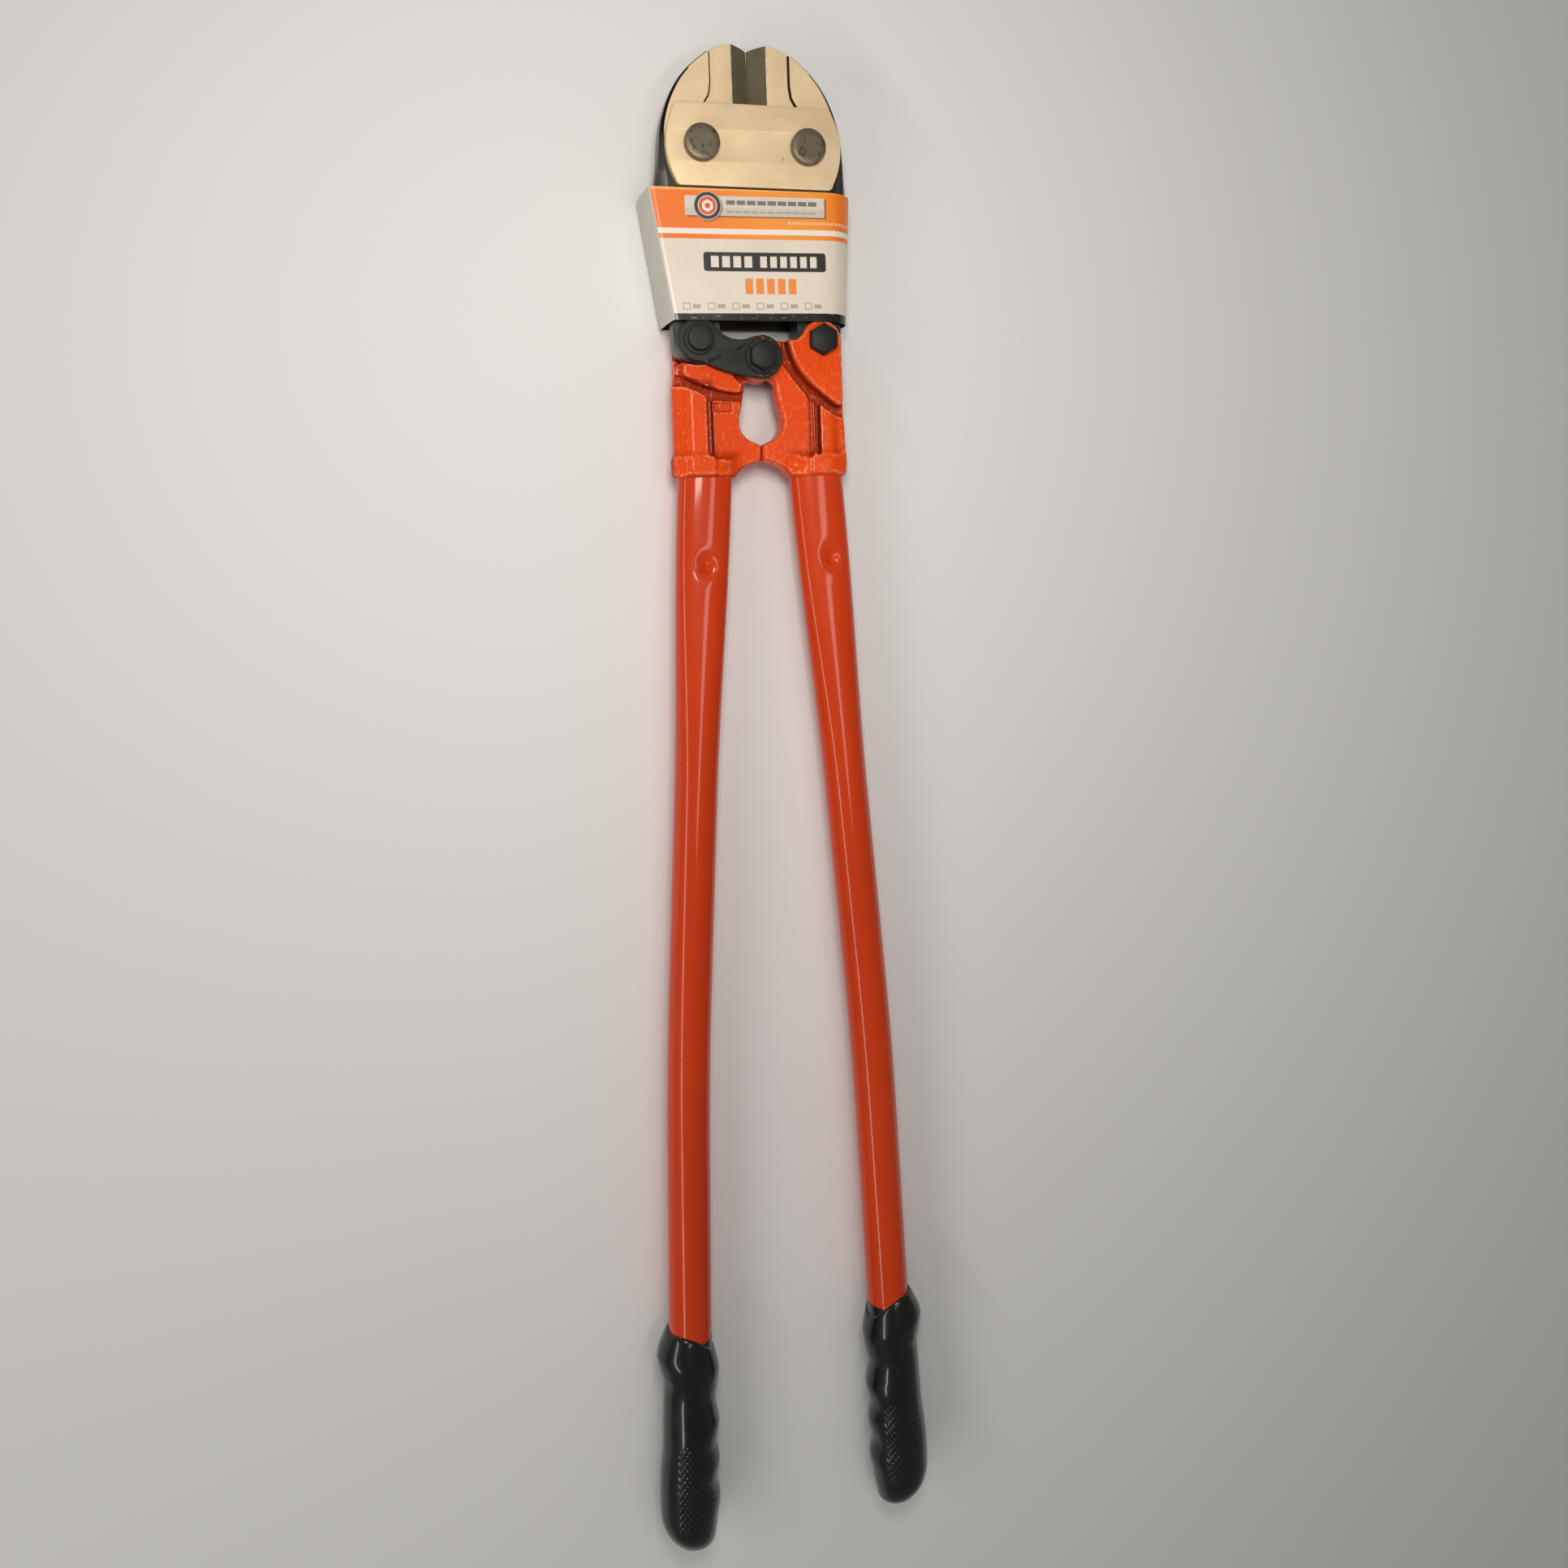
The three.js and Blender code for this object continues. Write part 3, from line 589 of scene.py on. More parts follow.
def black_steel(name="black_steel"):
    """Black-oxide fasteners and link plates."""
    f = Finish(name, Metallic=0.25, Specular_IOR_Level=0.4)
    grain = f.noise(0.5, 3, 0.6)
    cloud = f.noise(8, 3, 0.55)
    scuff = f.noise(3, 3, 0.6, stretch=(1, 0.4, 1)).rise(0.66, 0.8)
    base = f.mix(cloud, (24, 26, 24), (36, 38, 35))
    f.finished(
        f.mix(scuff * 0.4, base, (84, 80, 74)),
        grain * 0.2 + (cloud * 0.1) + 0.4,
        grain * 0.025 + (cloud * 0.1))
    return f


def orange_casting():
    """Glossy orange enamel over sand-cast grain; painted highlights lighten the ridges and scattered
    specks, and painted shade darkens the pits, which are also rougher.
    """
    f = Finish("orange_casting", Coat_Weight=0.2, Coat_Roughness=0.12, Specular_IOR_Level=0.08)
    ridge, pit = f.attribute("ridge"), f.attribute("pit")
    grain = f.noise(1.1, 3, 0.6, stretch=(1, 0.6, 1))
    swell = f.noise(5, 2, 0.5)
    # light specks: painted glints, and also small raised bumps in the relief
    speck_bumps_and_glints = f.noise(1.4, 2, 0.5, stretch=(1, 0.5, 1)).rise(0.62, 0.7)
    cloud = f.noise(26, 2)
    base = f.mix(cloud.rise(0.3, 0.7), (234, 73, 5), (244, 80, 8))
    # painted shade: the hollows are darkened towards a deep red
    base = f.mix(pit.rise(0.14, 0.5) * 0.75, base, (120, 28, 8))
    base = f.mix(speck_bumps_and_glints * 0.4, base, (255, 160, 116))
    # painted highlight: pale orange along the convex edges, broken by the grain and kept out of the
    # hollows
    ridge_highlight = ridge.rise(0.14, 0.32) * grain.rise(0.44, 0.57) * pit.rise(0.3, 0.1)
    return f.finished(
        f.mix(ridge_highlight * 0.6, base, (255, 184, 144)),
        swell * 0.12 + (pit.rise(0.1, 0.7) * 0.3) + 0.28,
        grain.rise(0.35, 0.8) * 0.14 + (swell * 0.12) + (speck_bumps_and_glints * 0.08))


def orange_tube():
    """Smooth glossy orange enamel on drawn tube, with a slight orange peel."""
    f = Finish("orange_tube", Coat_Weight=0.6, Coat_Roughness=0.09, Specular_IOR_Level=0.12)
    peel = f.noise(1.8, 1, 0.4)
    swell = f.noise(16, 2)
    cloud = f.noise(60, 2, stretch=(1, 0.3, 1))
    dust = f.noise(0.8, 1).rise(0.76, 0.82)
    base = f.mix(cloud.rise(0.3, 0.7), (206, 58, 6), (216, 64, 9))
    return f.finished(
        f.mix(dust * 0.25, base, (250, 140, 100)),
        swell * 0.1 + 0.35,
        peel * 0.006 + (swell * 0.04) + (dust * 0.015))


def black_grip():
    """Dipped black vinyl, glossy, with a soft mottle."""
    f = Finish("black_grip", Specular_IOR_Level=0.3, Coat_Weight=0.7, Coat_Roughness=0.1)
    grain = f.noise(0.9, 2)
    swell = f.noise(9, 2)
    smudge = f.noise(14, 3).rise(0.45, 0.75)
    return f.finished(
        f.mix(smudge, (5, 6, 5), (12, 14, 12)),
        smudge * 0.12 + (grain * 0.08) + 0.3,
        grain * 0.008 + (swell * 0.15))


# ---------------- printed card

# The print leans by PRINT_TILT; the rest are the heights where its bands begin or end
PRINT_TILT = 0.012
HEADER_LOW = 72.4
WHITE_LOW = 69.3
STRIPE_LOW = 66.6
BAND_HIGH = 24.4


def printed_card():
    """The front of the card sleeve: a plain generic layout with no lettering."""
    f = Finish("printed_card", Specular_IOR_Level=0.45, Coat_Weight=0.15, Coat_Roughness=0.2)
    u = f.x
    v = f.y - (f.x * PRINT_TILT)
    soft = 0.12

    def panel(left, right, low, high, corner=0.0):
        """1 inside a rectangle with rounded corners."""
        dx = (u - (left + right) / 2).abs() - ((right - left) / 2 - corner)
        dy = (v - (low + high) / 2).abs() - ((high - low) / 2 - corner)
        if not corner:
            return dx.max(dy).rise(soft, -soft)
        outside = (dx.max(0) * dx.max(0) + dy.max(0) * dy.max(0)).math("SQRT")
        return (outside + dx.max(dy).min(0)).rise(corner + soft, corner - soft)

    def row(first, pitch, count, low, high, width):
        """1 inside any of a row of equal rectangles."""
        place = (u - first) * (1 / pitch)
        cell = place.math("FRACT") * pitch
        across = (cell - width / 2).abs() - width / 2
        along = (v - (low + high) / 2).abs() - (high - low) / 2
        inside = across.max(along).rise(soft, -soft)
        return inside * place.rise(-0.02, 0.0) * place.rise(count, count - 0.02)

    def disc(x, y, radius):
        """1 inside a circle."""
        dx, dy = u - x, v - y
        return (dx * dx + dy * dy).math("SQRT").rise(radius + soft, radius - soft)

    def above(low, fade=soft):
        """1 above a height on the card."""
        return v.rise(low - fade, low + fade)

    fibre = f.noise(0.8, 3, 0.6)
    cloud = f.noise(30, 2)
    orange = f.mix(u.rise(-50, 10) * u.rise(60, 30), (250, 122, 30), (255, 156, 54))
    seal = (-29.4, 85.2)
    dx, dy = (u - seal[0]).abs(), (v - seal[1]).abs()
    nut = dx.max(dx * 0.5 + (dy * 0.866))
    boxes = row(-45.9, 14.5, 6, 26.5, 30.5, 4.3) * row(-45.5, 14.5, 6, 26.9, 30.1, 3.5).flip()
    foot = above(BAND_HIGH).flip()
    painted_glint = f.noise(2.2, 2, stretch=(0.7, 2.2, 1)).rise(0.62, 0.72)
    crease = (u + ((v - 20) * 0.14) + 49.6).abs().rise(0.5, 0.1)
    layers = [
        # bands: stripe, white, header and its pale upper edge
        (above(STRIPE_LOW), orange, 1),
        (above(WHITE_LOW), (250, 238, 226), 1),
        (above(HEADER_LOW), orange, 1),
        (above(93.7, 0.4), (255, 186, 104), 0.8),
        # name bar with its shadow and shade, and three lines of plain strokes
        (panel(-41.6, 41.4, 78.8, 90.2, 0.8), (110, 70, 40), 0.8),
        (panel(-42.6, 40.4, 79.6, 90.7, 0.8), (226, 214, 200), 1),
        (panel(-42.6, 40.4, 79.6, 84.1), (206, 196, 182), 0.7),
        (row(-18.4, 6.1, 9, 85.9, 88.4, 5.2), (52, 46, 42), 0.75),
        (row(-18.4, 4.9, 11, 81.3, 82.5, 4.1), (170, 160, 148), 0.8),
        (row(18.0, 2.6, 15, 75.4, 76.9, 1.9), (255, 214, 168), 0.75),
        # round seal with its shadow and a plain hexagon
        (disc(seal[0] + 0.7, seal[1] - 0.7, 8.3), (90, 62, 40), 0.6),
        (disc(*seal, 8.1), (196, 188, 176), 1),
        (disc(*seal, 7.6), (58, 54, 50), 1),
        (disc(*seal, 5.7), (226, 216, 202), 1),
        (disc(*seal, 5.1), (228, 96, 40), 1),
        (nut.rise(3.1 + soft, 3.1 - soft) * nut.rise(1.5 - soft, 1.5 + soft), (244, 238, 230), 1),
        # dark title pill with its shadow, and plain blocks in place of words
        (panel(-32.6, 40.4, 48.1, 58.9, 1.6), (150, 136, 120), 0.5),
        (panel(-32.9, 40.1, 48.4, 59.2, 1.6), (44, 42, 40), 1),
        (row(-28.6, 6.6, 4, 50.6, 57.0, 4.6), (236, 226, 212), 1),
        (row(0.6, 6.0, 6, 50.6, 57.0, 4.0), (236, 226, 212), 1),
        # orange blocks, and six tick boxes with a short stroke each
        (row(-8.8, 6.5, 5, 35.4, 44.3, 4.6), (250, 146, 62), 1),
        (boxes, (120, 110, 100), 0.8),
        (row(-40.2, 14.5, 6, 27.3, 29.6, 4.6), (104, 96, 88), 0.55),
        # glossy black foot with painted glints, and a pale crease above it
        (foot, (30, 30, 28), 1),
        (foot * painted_glint * v.rise(21.1, 21.8), (196, 190, 178), 0.5),
        (crease * v.rise(24.5, 26), (255, 240, 222), 0.35),
    ]
    art = f.mix(cloud.rise(0.3, 0.7), (232, 219, 202), (238, 226, 210))
    for mask, ink, strength in layers:
        art = f.mix(mask * strength, art, ink)
    return f.finished(
        art,
        fibre * 0.12 + (foot * -0.12) + 0.32,
        fibre * 0.012 + (cloud * 0.5))


def plain_card(name, light, dark, rough):
    """Unprinted faces of the card."""
    f = Finish(name, Specular_IOR_Level=0.35)
    fibre = f.noise(1.0, 4, 0.65)
    cloud = f.noise(16, 3)
    return f.finished(
        f.mix(fibre * 0.4 + (cloud * 0.5), dark, light),
        fibre * 0.15 + rough,
        fibre * 0.02 + (cloud * 0.25))


# ---------------- jaws

def jaw_edges():
    """The jaw's inner and outer outline, both from the tip down to the tail's end."""
    inner = [(BEVEL_WIDTH, TIP_Y)]
    inner += curve((BEVEL_WIDTH, TIP_Y), (4.5, 179.5), (GAP / 2, NOTCH_Y))
    inner += [(GAP / 2, JAW_PIVOT.y), *through([(2.4, 114), (8, 100), (17, 70), (22.8, 35),
              (OUTER_BOLT.x - TAIL_RADIUS, OUTER_BOLT.y)])]
    inner += arc(OUTER_BOLT, TAIL_RADIUS, 180, 270)[1:]
    outer = through([(BEVEL_WIDTH, TIP_Y), (16, 179), (22.5, 176), (30, 170.3), (37.5, 163.8),
                     (44, 155.6), (49.5, 144.5), (53.2, 132), (54.8, 119), (55.3, 108), (55, 97)])
    outer += arc(OUTER_BOLT, TAIL_RADIUS, 0, -90)
    return np.array(inner), np.array(outer)


def jaw_shape():
    """Sections across the jaw, from the tip to the tail."""
    inner, outer = jaw_edges()
    stations = np.concatenate([
        TIP_Y - np.array([0, 0.15, 0.4, 0.8, 1.4, 2.2, 3, 3.8, 4.4, 4.9, 5.4, 6, 7, 8.5]),
        np.arange(169, 142, -2), [141.2, 138.8, 136, 133, 130, 127, 124],
        np.arange(120, 8, -5), OUTER_BOLT.y - TAIL_RADIUS * np.sin(np.linspace(0.15, 1.55, 9))])
    flare = through([(53.6, 134), (54.6, 124), (56.4, 109), (58.3, 96), (57.6, 84), (55, 62),
                     (52.4, 38), (50.9, 12)])
    flare = np.array(flare)[::-1]
    rings = []
    for y in stations:
        low_x = np.interp(-y, -inner[:, 1], inner[:, 0])
        high_x = np.interp(-y, -outer[:, 1], outer[:, 0])
        nose = np.interp(y, [NOSE_LOW - 1, NOSE_LOW + 1], [0, 1])
        width = high_x - low_x
        chamfer = min(np.interp(y, [60, 97, 119, 131, 140, 170], [2.2, 4, 2.2, 1.3, 1, 0.9]),
                      width * 0.2)
        top = JAW_HALF + (JAW_NOSE_HALF - JAW_HALF) * nose
        step = np.interp(y, [138, 143, 150, 157], [28.5, 28.5, 24, NOSE_STEP_X])
        step_x = min(step, low_x + width * 0.45 if y < 120 else high_x - chamfer - 0.3)
        chamfer += 0.8 * np.interp(y, [163, 164], [1, 0])
        beyond = step + 1.1 < high_x - chamfer
        outer_top = JAW_HALF if beyond or y < 160 else JAW_NOSE_HALF
        edge_z = JAW_HALF + (EDGE_HALF - JAW_HALF) * nose
        rise = (JAW_NOSE_HALF - EDGE_HALF) / (BEVEL_WIDTH - GAP / 2)
        start_z = min(edge_z + (low_x - GAP / 2) * rise * nose, top)
        bevel_x = max(BEVEL_WIDTH, low_x + 0.3) if y > 119 else low_x + 0.25 * width
        bevel_x = min(bevel_x, step_x - 0.1)
        middle_x = max(high_x + 0.4, np.interp(y, flare[:, 1], flare[:, 0])) if 12 < y < 134 \
            else high_x + 0.4 * min(1, width / 10)
        drop = min(chamfer, 2.4) * 0.75
        rim = min(0.8, (step_x - bevel_x) * 0.2)
        far_step = min(step_x + 1.1, high_x - chamfer - 0.1)
        half = [(low_x, start_z), ((low_x + bevel_x) / 2, (start_z + top - 0.12) / 2),
                (bevel_x, top - 0.12), (bevel_x + rim, top), ((bevel_x + step_x) / 2, top),
                (step_x - rim, top), (step_x, top - 0.05), (far_step, outer_top),
                (high_x - chamfer, outer_top), (high_x, outer_top - drop),
                (high_x + (middle_x - high_x) * 0.6, outer_top * 0.5),
                (middle_x - (middle_x - high_x) * 0.06, 1.6)]
        section = half + [(x, -z) for x, z in reversed(half)]
        rings.append([(x, y, z) for x, z in section])
    points = np.array(rings).reshape(-1, 3)
    return points, ring_faces(len(stations), len(section))


def make_jaws():
    """Both jaws: ground faces, cutting edges darkened as painted shade, corners and rims with painted
    highlights, and black forged sides.
    """
    materials = [jaw_top(), jaw_bevel(), jaw_side(), jaw_chamfer(), jaw_edge(), jaw_step()]

    top, bevel_face, forged_side, chamfer, edge_highlight, step = range(len(materials))

    def choose(centre, normal):
        """The material of a face, from its place and the way it looks."""
        lean = abs(normal.z)
        if centre.y > NOSE_LOW and centre.x < BEVEL_WIDTH and normal.x < -0.3 and lean > 0.5:
            return bevel_face
        on_rim = BEVEL_WIDTH < centre.x < BEVEL_WIDTH + 0.8
        if lean > 0.95:
            # the flat rim beside the cutting bevel takes the painted highlight
            return edge_highlight if on_rim and centre.y > NOSE_LOW else top
        if centre.y > 136 and normal.x < -0.3 and 12 < centre.x < 30:
            return step
        if lean > 0.3 and normal.x > 0.2 and abs(centre.z) > 6 and centre.x > 25:
            return chamfer
        if centre.x > 24 or centre.y < 100:
            return forged_side
        return top if lean > 0.3 else forged_side

    for side in ("left", "right"):
        piece = make(f"{side}_jaw_forging", jaw_shape(), materials, f"{side}_jaw",
                     [f"jaw_{side}"], left=side == "left", sharp=24, choose=choose)
        bevel = piece.modifiers.new("edges", "BEVEL")
        bevel.width = 0.25 * MM
        bevel.segments = 2
        bevel.limit_method = "ANGLE"
        bevel.angle_limit = math.radians(24)


# ---------------- head frame

def clamp_outline():
    """A clamp plate: straight top and foot, bowed sides and round corners."""
    half_width, half_height, corner_x, corner = 51.8, 23.4, 47, 3.6
    corner_y = half_height - corner
    rise = half_width - corner_x
    radius = (corner_y ** 2 + rise ** 2) / (2 * rise)
    spread = math.degrees(math.asin(corner_y / radius))
    flat_x = corner_x - corner

    def half(turn):
        """The right half of the outline, or the same turned by half a turn."""
        side = arc((half_width - radius, 0), radius, -spread, spread, 24)
        points = [(flat_x, -half_height)]
        points += curve((flat_x, -half_height), (corner_x - 0.8, -half_height), side[0])
        points += side
        points += curve(side[-1], (corner_x - 0.8, half_height), (flat_x, half_height))
        return [(turn * x, turn * y + JAW_PIVOT.y) for x, y in points]

    return half(1) + half(-1)


def make_head_frame():
    """The two clamp plates and the bolts and nuts of the jaw pivots."""
    steel = ground_steel()
    dark = pivot_steel()
    holes = [round_hole((side * JAW_PIVOT.x, JAW_PIVOT.y), CLAMP_HOLE) for side in (1, -1)]
    for name, low, high in (("front", CLAMP_IN, CLAMP_OUT), ("rear", -CLAMP_OUT, -CLAMP_IN)):
        make(f"{name}_clamp_cheek", plate([clamp_outline(), *holes], low, high, 0.45), [steel],
             "head_frame", [f"{name}_clamp_plate"])
    head = level("jaw_pivot_bolt_right", 1)
    foot = -level("jaw_pivot_bolt_right", 0)
    seat = CLAMP_OUT + GAP
    for side, sign in (("left", -1), ("right", 1)):
        centre = (sign * JAW_PIVOT.x, JAW_PIVOT.y)
        bolt = polar([(7.3, -foot), (7.9, 0.6 - foot), (7.9, seat), (9.9, seat), (10.2, seat + 0.3),
                      (10.2, head - 0.7), (10.0, head - 0.25), (9.5, head), (6, head - 0.06),
                      (2, head - 0.1)], centre)
        make(f"{side}_pivot_bolt", bolt, [dark], "head_frame",
             [f"jaw_pivot_bolt_{side}"])
        nut = bored(hex_rings(19, seat, foot, 8.1), centre, turned_over=True)
        make(f"{side}_pivot_nut", nut, [dark], "head_frame",
             [f"jaw_pivot_nut_{side}"])


# ---------------- card sleeve

SLEEVE_TOP = 94.6
SLEEVE_BOTTOM = 20.2
WARP = 0.25


def sleeve_section(y, inset):
    """The card's section at one height, from the sharp front-left fold round the front."""
    share = (y - SLEEVE_BOTTOM) / (SLEEVE_TOP - SLEEVE_BOTTOM)
    front = 16.85 - inset
    fold_x = -51.4 - 11.8 * share + inset
    back_x = -54.8 - 10.9 * share + inset
    right_x = 55.6 + 4.1 * share - inset
    soft_x = 38 + 3 * share
    bow = 0.35 * math.sin(math.pi * share)
    points = [(fold_x + 0.25, front - 0.3), (fold_x + 0.7, front)]
    for x in np.linspace(fold_x + 3, soft_x, 22):
        points.append((x, front - bow * (0.5 - 0.5 * math.cos(
            2 * math.pi * (x - fold_x) / (soft_x - fold_x)))))
    for t in np.linspace(0.08, 1, 14) * math.pi / 2:
        points.append((soft_x + (right_x - soft_x) * math.sin(t), 1 + (front - 1) * math.cos(t)))
    for t in np.linspace(0.1, 1, 6):
        points.append((right_x - 1.6 * t, 1 - (front - 3) * t))
    for t in np.linspace(0.15, 1, 6) * math.pi / 2:
        points.append((right_x - 1.6 - 3.4 * (1 - math.cos(t)), 4 - front - 4 * math.sin(t)))
    for x in np.linspace(right_x - 9, back_x + 4, 16):
        points.append((x, -front))
    points += [(back_x + 1.2, -front), (back_x + 0.3, 0.5 - front), (back_x, 1.4 - front)]
    for t in np.linspace(0.15, 0.9, 6):
        bulge = 0.5 * math.sin(math.pi * t)
        points.append((back_x + (fold_x - back_x) * t - bulge + inset * 0.2,
                       1.4 - front + (2 * front - 2) * t))
    return [(x, y, z) for x, z in points]


def make_sleeve():
    """The card sleeve round the head, printed in front and on its rounded right side."""
    heights = np.linspace(SLEEVE_TOP, SLEEVE_BOTTOM, 26)
    outside = [sleeve_section(y, 0) for y in heights]
    inside = [sleeve_section(y, CARD) for y in heights[::-1]]
    rings = np.array(outside + inside)
    sides = rings.shape[1]
    for ring in rings:
        for point in ring:
            if abs(abs(point[2]) - 16.5) < 0.6:
                wave = noise.noise(Vector((point[0] / 30, point[1] / 26, 3)))
                point[2] -= math.copysign(WARP + WARP * wave, point[2])
    points = rings.reshape(-1, 3)
    faces = loop_faces(len(rings), sides)
    materials = [
        printed_card(),
        plain_card("card_side", (224, 219, 206), (196, 191, 178), 0.45),
        plain_card("card_inside", (40, 40, 38), (22, 22, 21), 0.3),
    ]
    printed, plain, inner = range(len(materials))
    count = (len(heights) - 1) * sides
    piece = make("printed_sleeve", (points, faces), materials, "head_frame",
                 ["card_sleeve"], sharp=50)
    for number, polygon in enumerate(piece.data.polygons):
        if number >= count:
            polygon.material_index = inner if number < 2 * count + sides else plain
        else:
            centre = (polygon.center - ORIGIN) / MM
            in_front = polygon.normal.x > -0.5 and centre.z > -12
            polygon.material_index = printed if in_front else plain


# ---------------- handle heads

def web_outline():
    """The casting's web, from the eye down to the socket."""
    edge = GAP / 2
    return [
        *path((8.6, -14.5), (9.6, -22), [(11.2, -30), (13.6, -34), (12.4, -40)],
              [(11.2, -44.8), (6.9, -47.6)], (2, -49.6)),
        *curve((2, -49.6), (edge, -50.2), (edge, -51.5), steps=4), (edge, -58.4),
        *curve((edge, -58.4), (edge, -60), (2.5, -60.7), steps=4),
        *curve((2.5, -60.7), (11, -62.6), (17.5, -68.8)), (50, -68.6), (52.3, -62), (51.2, -20),
        (51, -5.5), (37, 4), (30, 10.8), (3, 10.8), (3, -10)]


def ear_outline():
    """The raised front ear that holds the outer bolt."""
    foot = path((15.9, 10.6), [(16.6, 2.5), (21, -5)], [(28, -16.5), (44.5, -28)],
                [(49.5, -30.5), (49.7, -25)])
    return [*foot, *arc(OUTER_BOLT, 12.7, 0, 140), *curve((27.3, 17.9), (24.5, 11.6), (20, 10.7))]


def band_outline():
    """The thick rear band between the eye and the outer side."""
    return path((46.5, -3), (46.8, -8.5), [(46.5, -11), (43, -12.6)], [(30, -18.8), (15, -20.6)],
                [(11.5, -20.6), (11, -17)], (9.2, -12), (14, -2), (36, -2))


# The casting's hollows, in front and behind
VALLEY = [(13.8, 12), (13.8, -3.2), (19.6, -11.5), (30.2, -24.4), (36, -27.6), (44, -33.2),
          (56, -37), (56, 12)]
FRONT_GROOVE = [(32.2, -22), (35.6, -24), (35.6, -58), (32.2, -58)]
REAR_GROOVE = [(29.3, -18), (33.2, -18), (33.2, -58), (29.3, -58)]
REAR_GULLY = [(56, -9.5), (47.5, -10), (43, -12.2), (30, -17.6), (14, -20.4), (8, -19),
              (8, -25), (22, -24.6), (28.6, -24.0), (32.6, -22.6), (38, -19.8), (46, -16.4), (56, -15)]
NUMBER_PAD = [(17.6, -25.8), (28, -25.4), (28, -31), (17.6, -31)]


def tail_sweep():
    """The room that the jaw's tail swings through, seen from the handle head."""
    radius, far = TAIL_RADIUS + 0.4, 60
    reach = math.hypot(OUTER_BOLT.x - JAW_PIVOT.x, JAW_PIVOT.y - OUTER_BOLT.y)
    link = math.hypot(*OUTER_BOLT)
    turned = math.atan2(OUTER_BOLT.y, OUTER_BOLT.x) + OPENING
    swing = -(OPENING + math.asin((OUTER_BOLT.x - JAW_PIVOT.x) / reach)
              - math.asin((link * math.cos(turned) - JAW_PIVOT.x) / reach))
    x, y = OUTER_BOLT
    end = (x + radius * math.cos(swing) - far * math.sin(swing),
           y + radius * math.sin(swing) + far * math.cos(swing))
    return [(x - radius, y), (x - radius, y + far), end,
            *arc(OUTER_BOLT, radius, math.degrees(swing), -180, 24)]


def soften(field, times):
    """A flat field with its corners rounded a little."""
    for _ in range(times):
        padded = np.pad(field, 1, mode="edge")
        field = (padded[:-2, 1:-1] + padded[2:, 1:-1] + padded[1:-1, :-2] + padded[1:-1, 2:]
                 + 4 * field) / 8
    return field


def head_shape():
    """The cast handle head: a field, its surface, and how far each point is a ridge or pit."""
    pitch = 0.5
    corner = (-18.0, -74.0, -16.0)
    x = np.arange(corner[0], 57, pitch)[:, None]
    y = np.arange(corner[1], 27.5, pitch)[None, :]
    z = np.arange(corner[2], EAR_OUT + 5, pitch)[None, None, :]

    def flat(outline, times=1):
        """An outline's field, softened a number of times."""
        return soften(distance(outline, x, y), times)[:, :, None]

    def cut(body, outline, low, high, rounding=0.9):
        """The body with a straight-walled hollow from low to high."""
        return without(body, slab(flat(outline), z, low, high, rounding, 0), rounding)

    x3, y3 = x[:, :, None], y[:, :, None]
    web_back, web_front, valley_floor, groove_floor, past = -6, 8.6, 4.4, -3.2, 30
    body = slab(flat(web_outline(), 4), z, web_back, web_front, 2.2)
    rib_x, rib_y, half_width, half_length, half_thickness = 41.8, -40.5, 10.4, 25.5, 10.9
    slope = (x3 - 43.5) * 0.66 + (np.abs(z) - half_thickness) * 0.75
    rib = common(np.abs(x3 - rib_x) - half_width, np.abs(z) - half_thickness, 1.2)
    rib = common(common(rib, slope, 1.6), np.abs(y3 - rib_y) - half_length, 1.2)
    body = joined(body, rib, 1.2)
    body = cut(body, VALLEY, valley_floor, past)
    body = cut(body, FRONT_GROOVE, valley_floor, past)
    body = cut(body, REAR_GROOVE, -past, groove_floor)
    body = cut(body, REAR_GULLY, -past, -3.0)
    body = cut(body, NUMBER_PAD, -past, -5.0, 0.3)
    socket = common(oval(x3 - 35, z, 17.4, 11.1, 3.2), np.abs(y3 - SOCKET_Y - 5.5) - 5.5, 2.2)
    socket = common(socket, slope - 0.7, 1.6)
    body = joined(body, socket, 4.5)
    dimple_x, dimple_y, dimple_z, dimple_r = 18.5, -62.2, 15.4, 7.4
    dimple = np.sqrt((x3 - dimple_x) ** 2 + (y3 - dimple_y) ** 2 + (z - dimple_z) ** 2) - dimple_r
    body = without(body, dimple, 2.5)
    ear = slab(flat(ear_outline(), 2), z, 4, EAR_OUT, 1.8)
    band = slab(flat(band_outline(), 2), z, -9.5, -2, 1.6)
    body = joined(body, ear, 0.8)
    body = joined(body, band, 0.8)
    body = without(body, slab(flat(tail_sweep(), 0), z, -past, EAR_IN, 0.5, 0), 0.8)
    eye = slab(np.hypot(x3, y3) - EYE_R, z, GAP, 9.3, 1.4, 0)
    body = joined(body, eye, 1.5)
    other_eye = np.hypot(x3 - 2.5, y3 + 1.1) - (EYE_R + 3.6)
    body = without(body, slab(other_eye, z, -past, GAP, 0.5, 0), 0.8)
    for centre, radius in (((0, 0), CENTRE_HOLE), (OUTER_BOLT, OUTER_HOLE)):
        hole = np.hypot(x3 - centre[0], y3 - centre[1]) - radius
        body = without(body, hole + 0 * z, 0.8)
    points, faces = field_mesh(body, corner, pitch)
    normals = vertex_normals(points, faces)
    ridge = sample(body, corner, pitch, points - 1.5 * normals) / 1.5 + 1
    pit = 1 - sample(body, corner, pitch, points + 4 * normals) / 4
    wave = np.array([noise.fractal(Vector(p) / 3.2, 0.6, 2.0, 3) for p in points])
    return points + normals * (wave * 0.07)[:, None], faces, ridge, pit


